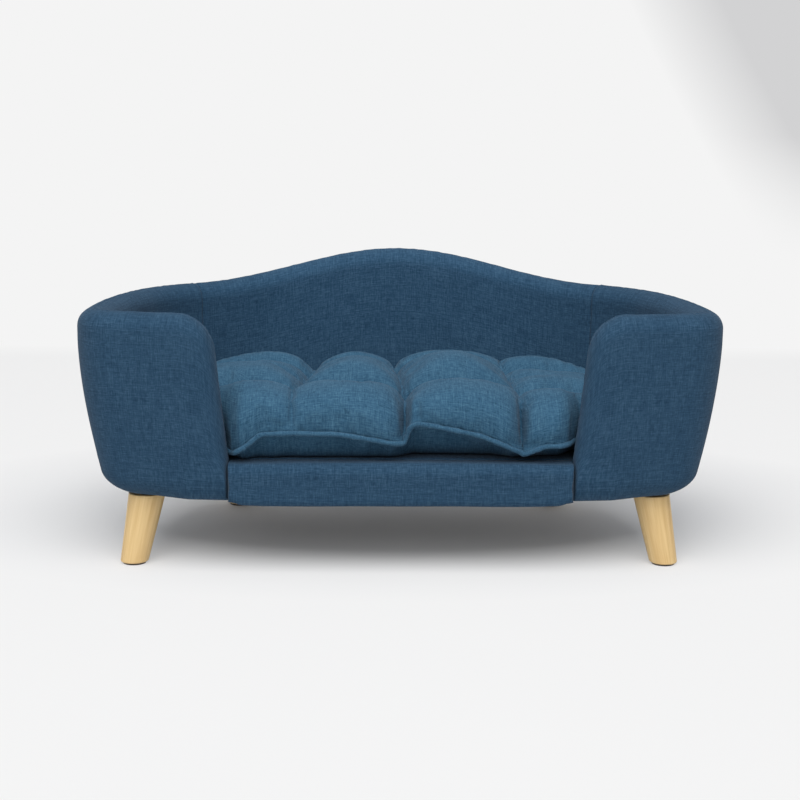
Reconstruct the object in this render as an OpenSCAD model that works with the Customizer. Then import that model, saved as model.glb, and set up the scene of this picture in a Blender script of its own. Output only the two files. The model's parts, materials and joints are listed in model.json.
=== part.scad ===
// Padded dog sofa bed: a low wall of bent plywood, padding and cloth stands on a
// timber base with four turned legs, and a tufted loose cushion lies inside it.
// X runs to the right, Y to the back, Z up. The origin is on the floor, below the
// middle of the body.

/* [Overall] */
// Width across the sides at the rim
body_w = 700; // [660:5:740]
// Height of the rim above the floor
rim_h = 280; // [262:2:300]
// Height of the back's crest above the floor
crest_h = 320; // [304:2:340]
// Height of the underside above the floor
under_h = 77; // [66:1:88]
// Thickness of the padded wall
wall_t = 38; // [34:1:42]

/* [Plan of the wall] */
// Angle by which a wing turns back where its front face starts
toe_deg = 3; // [1:0.5:4]
// Radius of a wing's front face
wing_r = 420; // [390:5:450]
// Turn of a wing's front face
wing_deg = 12; // [11:0.5:13]
// Radius of a front corner
front_r = 52; // [46:1:58]
// Turn of a front corner
front_deg = 74; // [72:0.5:76]
// Radius of a side
side_r = 480; // [440:5:520]
// Turn of a side
side_deg = 20; // [18:0.5:22]
// Radius of a rear corner
rear_r = 175; // [160:5:190]
// Turn of a rear corner
rear_deg = 60; // [58:0.5:62]
// Width of a wing at the rim
wing_w = 148; // [145:1:152]
// How much wider a wing is just above the cushion's base
wing_flare = 16.5; // [15:0.5:18]

/* [Section of the wall] */
// How far the wall leans out between the deck and its upright part
lean = 18; // [14:0.5:20]
// Height above which the wall is upright
upright_h = 247; // [240:1:254]
// Height of the rounding along the lower edge
under_round_h = 25; // [22:1:27]
// Width of that rounding under the sides
side_round_w = 40; // [34:1:44]
// Width of that rounding under the wings' ends
wing_round_w = 12; // [10:1:16]
// Width of that rounding under the back
back_round_w = 22; // [18:1:26]
// Radius of a wing's upper corner
wing_top_r = 38; // [32:1:42]
// Half the width of the swell in the back
swell_half_w = 255; // [235:5:257]
// Thickness of the cover cloth with its backing
cloth_t = 2; // [1.5:0.1:2.5]
// Thickness of the bent plywood boards
board_t = 6; // [4:0.5:8]

/* [Base] */
// Thickness of the bottom panel
panel_t = 12; // [10:1:15]
// Height of the timber frame
frame_h = 22; // [18:1:26]
// Width of the timber rails
frame_w = 26; // [22:1:30]
// Thickness of the deck panel
deck_t = 3; // [2.5:0.5:5]
// Thickness of the dust cover
dust_t = 0.8; // [0.5:0.1:1.2]
// Distance of the front rail's cloth behind the wings' front
rail_back = 5; // [3:0.5:8]
// Thickness of the front rail's padding
rail_pad_t = 4; // [3:0.5:6]
// Radius of the front rail's cloth edges
rail_round_r = 6; // [5:0.5:6]

/* [Legs] */
// Diameter at the top
leg_top_d = 40; // [36:1:44]
// Diameter at the foot
leg_foot_d = 30; // [26:1:34]
// How far a foot stands out from its top
leg_splay = 20; // [12:1:24]
// Diameter of the hanger bolt's machine thread
bolt_d = 8; // [6:1:8]
// Length of that thread above the leg
bolt_rise = 24; // [20:1:26]
// Depth of the hanger bolt in the leg
bolt_depth = 26; // [20:1:30]
// Thickness of the glide
glide_t = 2; // [1.5:0.5:3]
// Diameter of the glide
glide_d = 25; // [20:1:26]

/* [Cushion] */
// Distance of the cushion's front seam behind the wings' front
cushion_front = 30; // [26:1:36]
// Height of the seam above the deck
seam_rise = 22; // [18:1:26]
// Rise of the crown above the seam
crown = 62; // [50:1:64]
// Depth of the creases between the puffs
crease = 13; // [6:1:14]
// Extra depth of each tuft
tuft_dip = 11; // [4:1:12]
// Distance from an outer tuft to the wing's end beside it
tuft_side = 63.5; // [57.5:0.5:73.5]
// Distance between the two rows of tufts
tuft_pitch_y = 115; // [105:1:120]
// Distance of the cushion's straight rear edge behind the wings' front
cushion_back = 296; // [288:1:298]
// Thickness of the cushion's cloth
tick_t = 1.5; // [1:0.1:2]
// Diameter of the piping
piping_d = 5; // [4:0.5:6]
// Length of the zip
zip_length = 270; // [200:5:290]

/* [Hidden] */

// Clearances between neighbours, one overrun for all cuts, and a short step along the plan
layer_gap = 0.2;
soft_gap = 0.3;
thread_gap = 0.1;
cut_over = 1;
short_run = 1;

// Gaps between the wings at the rim and just above the cushion's base
rim_gap = body_w - 2 * wing_w;
seat_gap = rim_gap - 2 * wing_flare;

// Heights of the base, from the floor up
panel_z = under_h + cloth_t + soft_gap;
frame_z = panel_z + panel_t;
deck_z = frame_z + frame_h;
deck_cloth_z = deck_z + deck_t;
seat_z = deck_cloth_z + cloth_t;
dust_z = under_h - dust_t;

// Wall: half thickness, where the rounding starts, the tuck of a wing's end
half_t = wall_t / 2;
round_z = under_h + under_round_h;
tuck_r = 4;
lean_power_share = 1.6;
wing_lean_share = 0.35;
back_lean_share = 0.45;
lean_run = 150;
margin_w = 10;

// Headings at which the five stretches of the plan's left half start
head0 = 180 - toe_deg;
head1 = head0 - wing_deg;
head2 = head1 - front_deg;
head3 = head2 - side_deg;
head4 = head3 - rear_deg;

// Shift along X and Y over a clockwise arc from heading h, and the arc's length
function arc_x(h, r, a) = r * (sin(h) - sin(h - a));
function arc_y(h, r, a) = r * (cos(h - a) - cos(h));
function arc_len(r, a) = r * a * PI / 180;

// Ends of the stretches, with the outermost point of the side at half the width
raw_x1 = arc_x(head0, wing_r, wing_deg);
raw_x2 = raw_x1 + arc_x(head1, front_r, front_deg);
plan_x0 = -body_w / 2 - raw_x2 - side_r * (sin(head2) - 1);
plan_x1 = plan_x0 + raw_x1;
plan_x2 = plan_x0 + raw_x2;
plan_x3 = plan_x2 + arc_x(head2, side_r, side_deg);
plan_x4 = plan_x3 + arc_x(head3, rear_r, rear_deg);
back_r = -plan_x4 / sin(head4);
y1 = arc_y(head0, wing_r, wing_deg);
y2 = y1 + arc_y(head1, front_r, front_deg);
y3 = y2 + arc_y(head2, side_r, side_deg);
y4 = y3 + arc_y(head3, rear_r, rear_deg);
body_d = y4 + arc_y(head4, back_r, head4);

// Lengths along the plan at which the stretches end
run1 = arc_len(wing_r, wing_deg);
run2 = run1 + arc_len(front_r, front_deg);
run3 = run2 + arc_len(side_r, side_deg);
run4 = run3 + arc_len(rear_r, rear_deg);
run5 = run4 + arc_len(back_r, head4);

// Stretches of the plan: x, y, heading, radius and start along the plan
stretches = [
    [plan_x0, 0, head0, wing_r, 0],
    [plan_x1, y1, head1, front_r, run1],
    [plan_x2, y2, head2, side_r, run2],
    [plan_x3, y3, head3, rear_r, run3],
    [plan_x4, y4, head4, back_r, run4]
];
function stretch_at(s) =
    s < run1 ? stretches[0] : s < run2 ? stretches[1] : s < run3 ? stretches[2]
    : s < run4 ? stretches[3] : stretches[4];

// Heading of the plan's left half at length s, and the one along which the wall leans:
// round a front corner the lean fans out over a longer run than the arc itself
function heading(s) =
    let (q = stretch_at(s)) s < 0 ? head0 : q[2] - (s - q[4]) / arc_len(q[3], 1);
fan_run = 10;
fan_end = run2 + fan_run;
function lean_heading(s) =
    s < fan_run || s > fan_end ? heading(s)
    : heading(fan_run)
        + (heading(fan_end) - heading(fan_run)) * (s - fan_run) / (fan_end - fan_run);
// Point of the left half at length s, moved in by [lean, distance], from the front face
function half_plan(s, moved) =
    let (
        q = stretch_at(s), h = heading(s), g = lean_heading(s),
        x = s < 0 ? q[0] + s * cos(h) : q[0] + q[3] * (sin(q[2]) - sin(h)),
        y = s < 0 ? s * sin(h) : q[1] + q[3] * (cos(h) - cos(q[2]))
    )
    [x + moved[0] * sin(g) + moved[1] * sin(h), y - moved[0] * cos(g) - moved[1] * cos(h)];
// The same on the whole plan, with the row's Y
function plan(s, moved) =
    let (p = half_plan(near_half(s), moved))
    [s > run5 ? -p[0] : p[0], p[1] - body_d / 2];
function near_half(s) = s > run5 ? 2 * run5 - s : s;
// A depth behind the wings' front as a Y
function depth(d) = d - body_d / 2;

// Section of the wall: how far the faces lean in at a height
function lean_at(z) =
    z >= upright_h ? 0
    : lean * pow((upright_h - z) / (upright_h - seat_z), lean_power_share);
function clamp1(v) = min(1, max(0, v));
function back_part(s) = clamp1((near_half(s) - run3) / (run4 - run3));
function side_part(s) = clamp1(near_half(s) / lean_run);
function lean_share(s) =
    wing_lean_share + (1 - wing_lean_share) * side_part(s)
    - (1 - back_lean_share) * back_part(s);
function round_w(s) =
    wing_round_w + (side_round_w - wing_round_w) * side_part(s)
    - (side_round_w - back_round_w) * back_part(s);
function leaned(s, z) = lean_at(z) * lean_share(s);
// Lean and distance of the outer face at height z, under a layer of depth t
function face_in(s, z, t) =
    let (q = clamp1((round_z - z) / (under_round_h - t)))
    [leaned(s, z) + (round_w(s) - t) * (1 - sqrt(1 - q * q)), t];

// Edge of the bottom panel, of the frame and deck, and of the dust cover
skin_t = cloth_t + layer_gap;
tuck_deg = 80;
panel_in = 1.5;
function panel_edge(s) =
    [leaned(s, under_h) + (round_w(s) - cloth_t) * (1 - cos(tuck_deg)), cloth_t + panel_in];
function frame_edge(s) = [leaned(s, frame_z), half_t + board_t / 2 + layer_gap];
function dust_edge(s) = face_in(s, under_h, 0) + [0, margin_w / 2];

// Wing's end: where it stands along the plan at height z
end_slope = wing_flare / (rim_h - seat_z);
function end_run(z) =
    -(-plan_x0 - rim_gap / 2 + end_slope * max(0, rim_h - max(z, seat_z))) / cos(toe_deg);
function nose_r(z, t) = z > seat_z + tuck_r ? half_t - t : tuck_r;

// A station is an angle round a wing's end, or -1 with a length along the plan
nose_degs = [0, 25, 50, 70, 90];
wing_shares = [0.2, 0.6];
front_shares = [0, 0.17, 0.34, 0.5, 0.66, 0.83, 1];
side_shares = [0.25, 0.5, 0.75];
rear_shares = [0, 0.2, 0.4, 0.6];
rear_back_shares = [0.6, 0.8];
back_shares = [0, 0.2, 0.4, 0.6, 0.8, 1];
function runs(a, b, shares) = [for (f = shares) [-1, a + f * (b - a)]];
wing_stations = concat(
    runs(0, run1, wing_shares), runs(run1, run2, front_shares),
    runs(run2, run3, side_shares), runs(run3, run4, rear_shares)
);
cover_stations = concat([for (a = nose_degs) [a, 0]], wing_stations);
padding_stations = concat([for (a = nose_degs) if (a > 0) [a, 0]], wing_stations);
board_stations = concat([[90, 0]], wing_stations);
left_back = concat(runs(run3, run4, rear_back_shares), runs(run4, run5, back_shares));
back_stations = concat(
    left_back,
    [for (i = [len(left_back) - 2:-1:0]) [-1, 2 * run5 - left_back[i][1]]]
);

function run_at(st, z, t) =
    st[0] < 0 ? st[1] : end_run(z) + t + nose_r(z, t) * (1 - cos(st[0]));
function fullness(st) = st[0] < 0 ? 1 : sin(st[0]);

// Height of the wall's top, lower round a wing's upper corner, higher in the back
function corner_drop(d, r) = d < r ? r - sqrt(r * r - (r - d) * (r - d)) : 0;
function swell(s) =
    let (x = abs(plan(s, [0, 0])[0]))
    near_half(s) > run3 && x < swell_half_w
    ? (crest_h - rim_h) * (1 + cos(180 * x / swell_half_w)) / 2 : 0;
function top_z(st, t) =
    let (s = run_at(st, rim_h, t))
    rim_h - t + swell(s) - corner_drop(max(0, s - end_run(rim_h) - t), wing_top_r - t);
function roll_z(st, t) = top_z(st, t) - half_t + t;
// Length along the plan that sets a station's lean and rounding
function own_run(st) = run_at(st, rim_h, 0);

// A point at height z, moved in from the plan; the wings' ends stay square to X
function wall_point(st, moved, z, t) =
    let (square = st[0] < 0 ? 0 : (moved[0] + moved[1]) * tan(toe_deg))
    concat(plan(run_at(st, z, t) + square, moved), [z]);

// Middle of the wall, and under the deck the edge of the bottom panel
function core_in(s, z) =
    z > round_z + layer_gap ? [leaned(s, z), half_t] : panel_edge(s) - [0, layer_gap];
function skin_in(st, s, z, t) =
    let (core = core_in(s, z), face = face_in(s, z, t), mix = core + (face - core) * fullness(st))
    [mix[0], min(mix[1], core[1] - layer_gap / 2)];

roll_degs = [90, 60, 30, 0];
fall_shares = [0.25, 0.5, 0.75, 1];
under_degs = [30, 60, tuck_deg];
function fall_z(z_top, f) = z_top + (round_z - z_top) * f;
function inner_fall_z(z_top, f) = z_top + (seat_z - z_top) * f;

// Roll along the crest, on the outer side (-1) or the inner side (1)
function roll_point(st, a, side, t) =
    let (s = own_run(st), r = half_t - t, z = roll_z(st, t) + r * sin(a))
    wall_point(st, [leaned(s, z),
        half_t + side * max(layer_gap / 2, r * fullness(st) * cos(a))], z, t);

// Outer face of a layer of depth t, from below the crest down and under the body
function outer_side(st, t) =
    let (s = own_run(st), zr = roll_z(st, t))
    concat(
        [for (f = fall_shares)
            wall_point(st, skin_in(st, s, fall_z(zr, f), t), fall_z(zr, f), t)],
        [for (a = under_degs)
            let (z = round_z - (under_round_h - t) * sin(a))
            wall_point(st, skin_in(st, s, z, t), z, t)]
    );
function outer_line(st, t) =
    let (low = face_in(own_run(st), under_h + t, t))
    concat(
        [for (a = roll_degs) roll_point(st, a, -1, t)],
        outer_side(st, t),
        [for (w = [0, margin_w]) wall_point(st, low + [0, w], under_h + t, t)]
    );

// Inner face of a layer of depth t, from the crest down to the deck
function inner_side(st, t, lift) =
    let (s = own_run(st), zr = roll_z(st, t))
    [for (f = fall_shares)
        let (z = max(inner_fall_z(zr, f), seat_z + lift))
        wall_point(st, [leaned(s, z),
            half_t + max(layer_gap / 2, (half_t - t) * fullness(st))], z, t)];
function inner_line(st, t, lift) =
    concat([for (a = roll_degs) roll_point(st, a, 1, t)], inner_side(st, t, lift));

// A solid between two surfaces of points a and b, given as one list for each station
function quad(a, b, c, d) = [[a, b, c], [a, c, d]];
module sheet_solid(a, b) {
    rows = len(a);
    cols = len(a[0]);
    half = rows * cols;
    function at(k, i) = k * cols + i;
    skin = [for (k = [0:rows - 2]) for (i = [0:cols - 2])
        each concat(
            quad(at(k, i), at(k, i + 1), at(k + 1, i + 1), at(k + 1, i)),
            quad(half + at(k, i), half + at(k + 1, i),
                half + at(k + 1, i + 1), half + at(k, i + 1))
        )];
    rims = [for (k = [0:rows - 2])
        each concat(
            quad(at(k, 0), at(k + 1, 0), half + at(k + 1, 0), half + at(k, 0)),
            quad(at(k, cols - 1), half + at(k, cols - 1),
                half + at(k + 1, cols - 1), at(k + 1, cols - 1))
        )];
    ends = [for (i = [0:cols - 2])
        each concat(
            quad(at(0, i), half + at(0, i), half + at(0, i + 1), at(0, i + 1)),
            quad(at(rows - 1, i), at(rows - 1, i + 1),
                half + at(rows - 1, i + 1), half + at(rows - 1, i))
        )];
    points = concat([for (row = a) each row], [for (row = b) each row]);
    polyhedron(points = points, faces = concat(skin, rims, ends), convexity = 10);
}

// Covers: cloth over the padding, sewn along the crest and down the wings' ends
module outer_cover(stations) {
    color("steelblue") sheet_solid([for (st = stations) outer_line(st, 0)],
        [for (st = stations) outer_line(st, cloth_t)]);
}
module inner_cover(stations) {
    color("steelblue") sheet_solid([for (st = stations) inner_line(st, cloth_t, layer_gap)],
        [for (st = stations) inner_line(st, 0, layer_gap)]);
}

// Boards of bent plywood, in the middle of the wall
board_foot_z = frame_z + layer_gap;
function board_line(st, side) =
    let (s = own_run(st), zr = roll_z(st, skin_t))
    [for (z = concat([zr], [for (f = fall_shares) fall_z(zr, f)], [board_foot_z]))
        wall_point(st, [leaned(s, z), half_t + side * board_t / 2], z, skin_t)];
module wall_board(stations) {
    color("burlywood") sheet_solid([for (st = stations) board_line(st, -1)],
        [for (st = stations) board_line(st, 1)]);
}

// Padding: from the cover's inside to the board, or to the wall's middle past its end
first_share = 0.2;
over_board = 2 * layer_gap;
function past_board(st) = st[0] >= 0 && st[0] < 90;
function beside(st) = past_board(st) ? layer_gap / 2 : board_t / 2 + 2 * layer_gap;
function pad_roll(st, side) =
    let (
        top = roll_point(st, roll_degs[0], side, skin_t),
        next = roll_point(st, roll_degs[1], side, skin_t)
    )
    concat([top + (next - top) * first_share],
        [for (i = [1:len(roll_degs) - 1]) roll_point(st, roll_degs[i], side, skin_t)]);
// Core side under the roll: down the middle, out over the board's top edge
function pad_core(st, side) =
    let (
        s = own_run(st), zr = roll_z(st, skin_t), r = half_t - skin_t, mid = layer_gap / 2,
        high = pad_roll(st, side)[0][2], over = past_board(st) ? r / 4 : over_board,
        zs = [high, zr + r / 2, zr + over, zr + over / 2], ns = [mid, mid, mid, beside(st)]
    )
    [for (i = [0:3]) wall_point(st, [leaned(s, zs[i]), half_t + side * ns[i]], zs[i], skin_t)];
module outer_padding(stations) {
    low_z = round_z - (under_round_h - skin_t) * sin(tuck_deg);
    color("ivory") sheet_solid(
        [for (st = stations) concat(pad_roll(st, -1), outer_side(st, skin_t))],
        [for (st = stations)
            let (
                s = own_run(st), zr = roll_z(st, skin_t), side = [0, half_t - beside(st)],
                edge = panel_edge(s) - [0, layer_gap], foot = [leaned(s, frame_z), 0] + side,
                step = foot[0] + foot[1] > edge[0] + edge[1] ? layer_gap : -layer_gap
            )
            concat(
                pad_core(st, -1),
                [for (f = fall_shares)
                    let (z = fall_z(zr, f))
                    wall_point(st, [leaned(s, z), 0] + side, z, skin_t)],
                [wall_point(st, foot, frame_z + step, skin_t),
                wall_point(st, edge, frame_z + step, skin_t),
                wall_point(st, edge, low_z, skin_t)]
            )]
    );
}
module inner_padding(stations) {
    color("ivory") sheet_solid(
        [for (st = stations)
            let (s = own_run(st), zr = roll_z(st, skin_t))
            concat(
                pad_core(st, 1),
                [for (f = fall_shares)
                    let (z = max(fall_z(zr, f), seat_z + 2 * layer_gap))
                    wall_point(st, [leaned(s, z), half_t + beside(st)], z, skin_t)]
            )],
        [for (st = stations) concat(pad_roll(st, 1), inner_side(st, skin_t, 2 * layer_gap))]
    );
}
module on_right() { mirror([1, 0, 0]) children(); }

// Outline of the base along an edge, with a straight front at front_d
rail_half_l = seat_gap / 2 - soft_gap;
edge_runs = [for (st = wing_stations) st[1]];
back_runs = [for (i = [1:len(left_back) - 1]) left_back[i][1]];
outline_start = end_run(seat_z) + skin_t + tuck_r;
outline_runs = concat([outline_start], edge_runs, back_runs);
function base_outline(edge, front_d) =
    let (half = concat([[-rail_half_l, depth(front_d)], [-rail_half_l, edge[0][1]]], edge))
    concat(half, [for (i = [len(half) - 2:-1:0]) [-half[i][0], half[i][1]]]);
panel_line = [for (s = outline_runs) plan(s, panel_edge(s))];
frame_line = [for (s = outline_runs) plan(s, frame_edge(s))];
dust_line = [for (s = outline_runs) plan(s, dust_edge(s))];

// Legs: tops on the plan, and the directions in which the feet splay
front_leg_run = 65;
front_leg_in = 53;
rear_leg_lead = 6;
rear_leg_in = 52;
front_splay_deg = 227;
rear_splay_deg = 120;
front_leg = plan(front_leg_run, [0, front_leg_in]);
rear_leg = plan(run4 - rear_leg_lead, [0, rear_leg_in]);
leg_tops = [front_leg, [-front_leg[0], front_leg[1]], rear_leg, [-rear_leg[0], rear_leg[1]]];
splay_degs = [front_splay_deg, 180 - front_splay_deg, rear_splay_deg, 180 - rear_splay_deg];
nut_flange_d = 18;
nut_flange_t = 1.6;
nut_barrel_d = 10;
nut_barrel_l = 9;
nut_room = 2;
nut_pocket_d = nut_flange_d + 2 * nut_room;

// Front rail and its wrapping, as depths behind the wings' front
rail_pad_d = rail_back + cloth_t;
rail_wood_d = rail_pad_d + rail_pad_t;
rail_lip = 25;
block_depth = 40;
brace_w = 24;

// Screws up through the bottom panel
screw_d = 4;
screw_head_d = 8;
screw_head_h = 2.4;
screw_l = 26;
screw_fit = 0.2;
function on_frame(s, in) = plan(s, panel_edge(s) + [0, in]);
side_mid = on_frame((run2 + run3) / 2, frame_w / 2);
back_mid = on_frame((run4 + run5) / 2, frame_w / 2);
front_block_mid = on_frame(run2 + frame_w, frame_w / 2);
rear_block_mid = on_frame((run3 + run4) / 2, block_depth / 2);
rail_mid_y = depth(rail_wood_d + frame_w / 2);
rail_mid_share = 0.4;
brace_step = 60;
screw_left = [
    [-rail_half_l * rail_mid_share, rail_mid_y], side_mid, back_mid, front_block_mid,
    rear_block_mid
];
screw_places = concat(
    screw_left, [for (p = screw_left) [-p[0], p[1]]],
    [[0, -brace_step], [0, brace_step]]
);

module at_places(places) { for (p = places) translate(concat(p, [0])) children(); }
module screw_bores() {
    at_places(screw_places) translate([0, 0, panel_z - cut_over])
        cylinder(d = screw_d + screw_fit, h = screw_l + 2 * cut_over + screw_fit, $fn = 24);
}
module nut_pockets() {
    at_places(leg_tops) translate([0, 0, frame_z - cut_over])
        cylinder(d = nut_pocket_d, h = frame_h + 2 * cut_over, $fn = 32);
}

module bottom_panel() {
    color("burlywood") difference() {
        translate([0, 0, panel_z]) linear_extrude(panel_t)
            polygon(base_outline(panel_line, rail_wood_d));
        screw_bores();
        at_places(screw_places) translate([0, 0, panel_z - cut_over])
            cylinder(d = screw_head_d + screw_fit, h = screw_head_h + cut_over, $fn = 24);
        at_places(leg_tops) translate([0, 0, panel_z - cut_over])
            cylinder(d = nut_barrel_d + screw_fit, h = panel_t + 2 * cut_over, $fn = 24);
    }
}
// Timber bar along the plan through the given lengths of it
function bar_outline(ss, wide) =
    concat([for (s = ss) plan(s, frame_edge(s))],
        [for (i = [len(ss) - 1:-1:0]) on_frame(ss[i], wide)]);
function runs_between(a, b) =
    concat([a], [for (s = outline_runs) if (s > a + short_run && s < b - short_run) s], [b]);
front_block_run = run2 + side_shares[0] * (run3 - run2);
rear_block_run = run3 + rear_shares[1] * (run4 - run3);
rear_block_end = run4 + nut_pocket_d;
module frame_piece(outline) {
    color("tan") difference() {
        translate([0, 0, frame_z]) linear_extrude(frame_h) polygon(outline);
        screw_bores();
        nut_pockets();
    }
}
module front_rail() {
    front = depth(rail_wood_d);
    frame_piece([[-rail_half_l, front], [-rail_half_l, front + frame_w],
        [rail_half_l, front + frame_w], [rail_half_l, front]]);
}
module side_rail() {
    ss = runs_between(front_block_run + layer_gap, rear_block_run - layer_gap);
    frame_piece(bar_outline(ss, frame_w));
}
module back_rail() {
    left = bar_outline(runs_between(rear_block_end + layer_gap, run5), frame_w);
    count = len(left) / 2;
    outer = [for (i = [0:count - 1]) left[i]];
    inner = [for (i = [count:2 * count - 1]) left[i]];
    frame_piece(concat(
        outer, [for (i = [count - 2:-1:0]) [-outer[i][0], outer[i][1]]],
        [for (i = [count - 1:-1:0]) [-inner[i][0], inner[i][1]]],
        [for (i = [1:count - 1]) inner[i]]
    ));
}
module centre_brace() {
    front = depth(rail_wood_d) + frame_w + layer_gap;
    back = on_frame(run5, frame_w)[1] - 2 * layer_gap;
    frame_piece([[-brace_w / 2, front], [-brace_w / 2, back],
        [brace_w / 2, back], [brace_w / 2, front]]);
}
module front_block() {
    ss = runs_between(outline_start, front_block_run);
    outer = [for (s = ss) plan(s, frame_edge(s))];
    last = on_frame(front_block_run, block_depth);
    x_in = -rail_half_l - layer_gap;
    frame_piece(concat([[x_in, outer[0][1]]], outer, [last, [x_in, last[1]]]));
}
module rear_block() {
    ss = runs_between(rear_block_run, rear_block_end);
    frame_piece(concat([for (s = ss) plan(s, frame_edge(s))],
        [on_frame(rear_block_end, block_depth), on_frame(rear_block_run, block_depth)]));
}
module corner_blocks() {
    front_block();
    on_right() front_block();
    rear_block();
    on_right() rear_block();
}
module frame_screws() {
    color("silver") at_places(screw_places) translate([0, 0, panel_z + layer_gap]) {
        cylinder(d = screw_head_d, h = screw_head_h - layer_gap, $fn = 24);
        cylinder(d = screw_d, h = screw_l, $fn = 24);
    }
}
// A side's outer cover, pierced by the front leg's bolt
module side_cover() {
    difference() {
        outer_cover(cover_stations);
        translate([front_leg[0], front_leg[1], under_h - cut_over])
            cylinder(d = bolt_d + 2 * soft_gap, h = cloth_t + 2 * cut_over, $fn = 32);
    }
}
module tee_nuts() {
    color("silver") at_places(leg_tops) difference() {
        union() {
            translate([0, 0, frame_z]) cylinder(d = nut_flange_d, h = nut_flange_t, $fn = 32);
            translate([0, 0, frame_z - nut_barrel_l])
                cylinder(d = nut_barrel_d, h = nut_barrel_l + nut_flange_t, $fn = 32);
        }
        translate([0, 0, frame_z - nut_barrel_l - cut_over])
            cylinder(d = bolt_d + 2 * thread_gap,
                h = nut_barrel_l + nut_flange_t + 2 * cut_over, $fn = 32);
    }
}
module deck_panel() {
    color("peru") translate([0, 0, deck_z]) linear_extrude(deck_t)
        polygon(base_outline(frame_line, rail_wood_d));
}
module deck_cloth() {
    color("steelblue") translate([0, 0, deck_cloth_z]) linear_extrude(cloth_t)
        polygon(base_outline(frame_line, rail_wood_d + rail_lip + layer_gap));
}

// Front rail's padding and cover, as sections in depth and height
function round_front(front_d, low_z, high_z, r, back_low, back_high) =
    concat(
        [[back_low, low_z]],
        [for (a = [270:-15:180]) [front_d + r + r * cos(a), low_z + r + r * sin(a)]],
        [for (a = [180:-15:90]) [front_d + r + r * cos(a), high_z - r + r * sin(a)]],
        [[back_high, high_z]]
    );
module along_rail(outline) {
    translate([-rail_half_l, depth(0), 0]) rotate([90, 0, 90])
        linear_extrude(2 * rail_half_l) polygon(outline);
}
module rail_cover() {
    lip_back = rail_wood_d + rail_lip;
    turn_back = rail_wood_d + margin_w;
    outside = round_front(rail_back, under_h, seat_z, rail_round_r, turn_back, lip_back);
    inside = round_front(rail_pad_d, under_h + cloth_t, seat_z - cloth_t,
        rail_round_r - cloth_t, turn_back, lip_back);
    color("steelblue")
        along_rail(concat(outside, [for (i = [len(inside) - 1:-1:0]) inside[i]]));
}
module rail_padding() {
    back = rail_wood_d - layer_gap;
    face = round_front(rail_pad_d + layer_gap, panel_z, deck_cloth_z - layer_gap,
        rail_round_r - skin_t, back, back);
    color("ivory") along_rail([for (i = [1:len(face) - 2]) [min(face[i][0], back), face[i][1]]]);
}
module dust_cover() {
    color("dimgray") difference() {
        translate([0, 0, dust_z]) linear_extrude(dust_t)
            polygon(base_outline(dust_line, rail_wood_d + margin_w / 2));
        at_places(leg_tops) translate([0, 0, dust_z - cut_over])
            cylinder(d = bolt_d + 2 * soft_gap, h = dust_t + 2 * cut_over, $fn = 32);
    }
}
staple_l = 10;
staple_w = 1.2;
staple_t = 0.6;
staple_in = 4;
module cover_staples() {
    start = run1 * 0.35;
    gap = run2 / 4;
    clear = leg_top_d / 2 + staple_l;
    ss = [for (i = [1:24]) start + i * gap];
    color("silver") for (s = ss)
        if (s < run5 * 2 - start) {
            p = plan(s, dust_edge(near_half(s)) + [0, staple_in]);
            q = plan(s + short_run, dust_edge(near_half(s)) + [0, staple_in]);
            if (min([for (t = leg_tops) norm(p - t)]) > clear)
                translate([p[0], p[1], dust_z - staple_t])
                    rotate([0, 0, atan2(q[1] - p[1], q[0] - p[0])])
                        translate([-staple_l / 2, -staple_w / 2, 0])
                            cube([staple_l, staple_w, staple_t]);
        }
}

// One leg: a tapered turning, tilted, cut level at the top and at the foot
leg_h = dust_z - glide_t;
nail_d = 2;
nail_l = 10;
module leg(i) {
    tilt = atan(leg_splay / leg_h);
    long = leg_h / cos(tilt);
    over = leg_top_d / 2;
    taper = (leg_top_d - leg_foot_d) / 2 / long;
    top = leg_tops[i];
    foot = top + leg_splay * [cos(splay_degs[i]), sin(splay_degs[i])];
    wide = leg_top_d + 2 * leg_splay;
    color("burlywood") difference() {
        intersection() {
            translate([foot[0], foot[1], glide_t])
                rotate([0, 0, splay_degs[i]]) rotate([0, -tilt, 0]) translate([0, 0, -over])
                    cylinder(d1 = leg_foot_d - 2 * taper * over,
                        d2 = leg_top_d + 2 * taper * over, h = long + 2 * over, $fn = 64);
            translate([top[0] - wide, top[1] - wide, glide_t])
                cube([2 * wide, 2 * wide, leg_h]);
        }
        translate([top[0], top[1], dust_z - bolt_depth - soft_gap])
            cylinder(d = bolt_d + 2 * thread_gap, h = bolt_depth + soft_gap + cut_over, $fn = 32);
        translate([foot[0], foot[1], glide_t - cut_over])
            cylinder(d = nail_d + 2 * thread_gap, h = nail_l + soft_gap + cut_over, $fn = 16);
    }
}
module hanger_bolt(i) {
    color("silver") translate([leg_tops[i][0], leg_tops[i][1], dust_z - bolt_depth])
        cylinder(d = bolt_d, h = bolt_depth + bolt_rise, $fn = 32);
}
module glide(i) {
    foot = leg_tops[i] + leg_splay * [cos(splay_degs[i]), sin(splay_degs[i])];
    color("dimgray") translate([foot[0], foot[1], 0]) {
        cylinder(d = glide_d, h = glide_t, $fn = 48);
        cylinder(d = nail_d, h = glide_t + nail_l, $fn = 16);
    }
}

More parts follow.
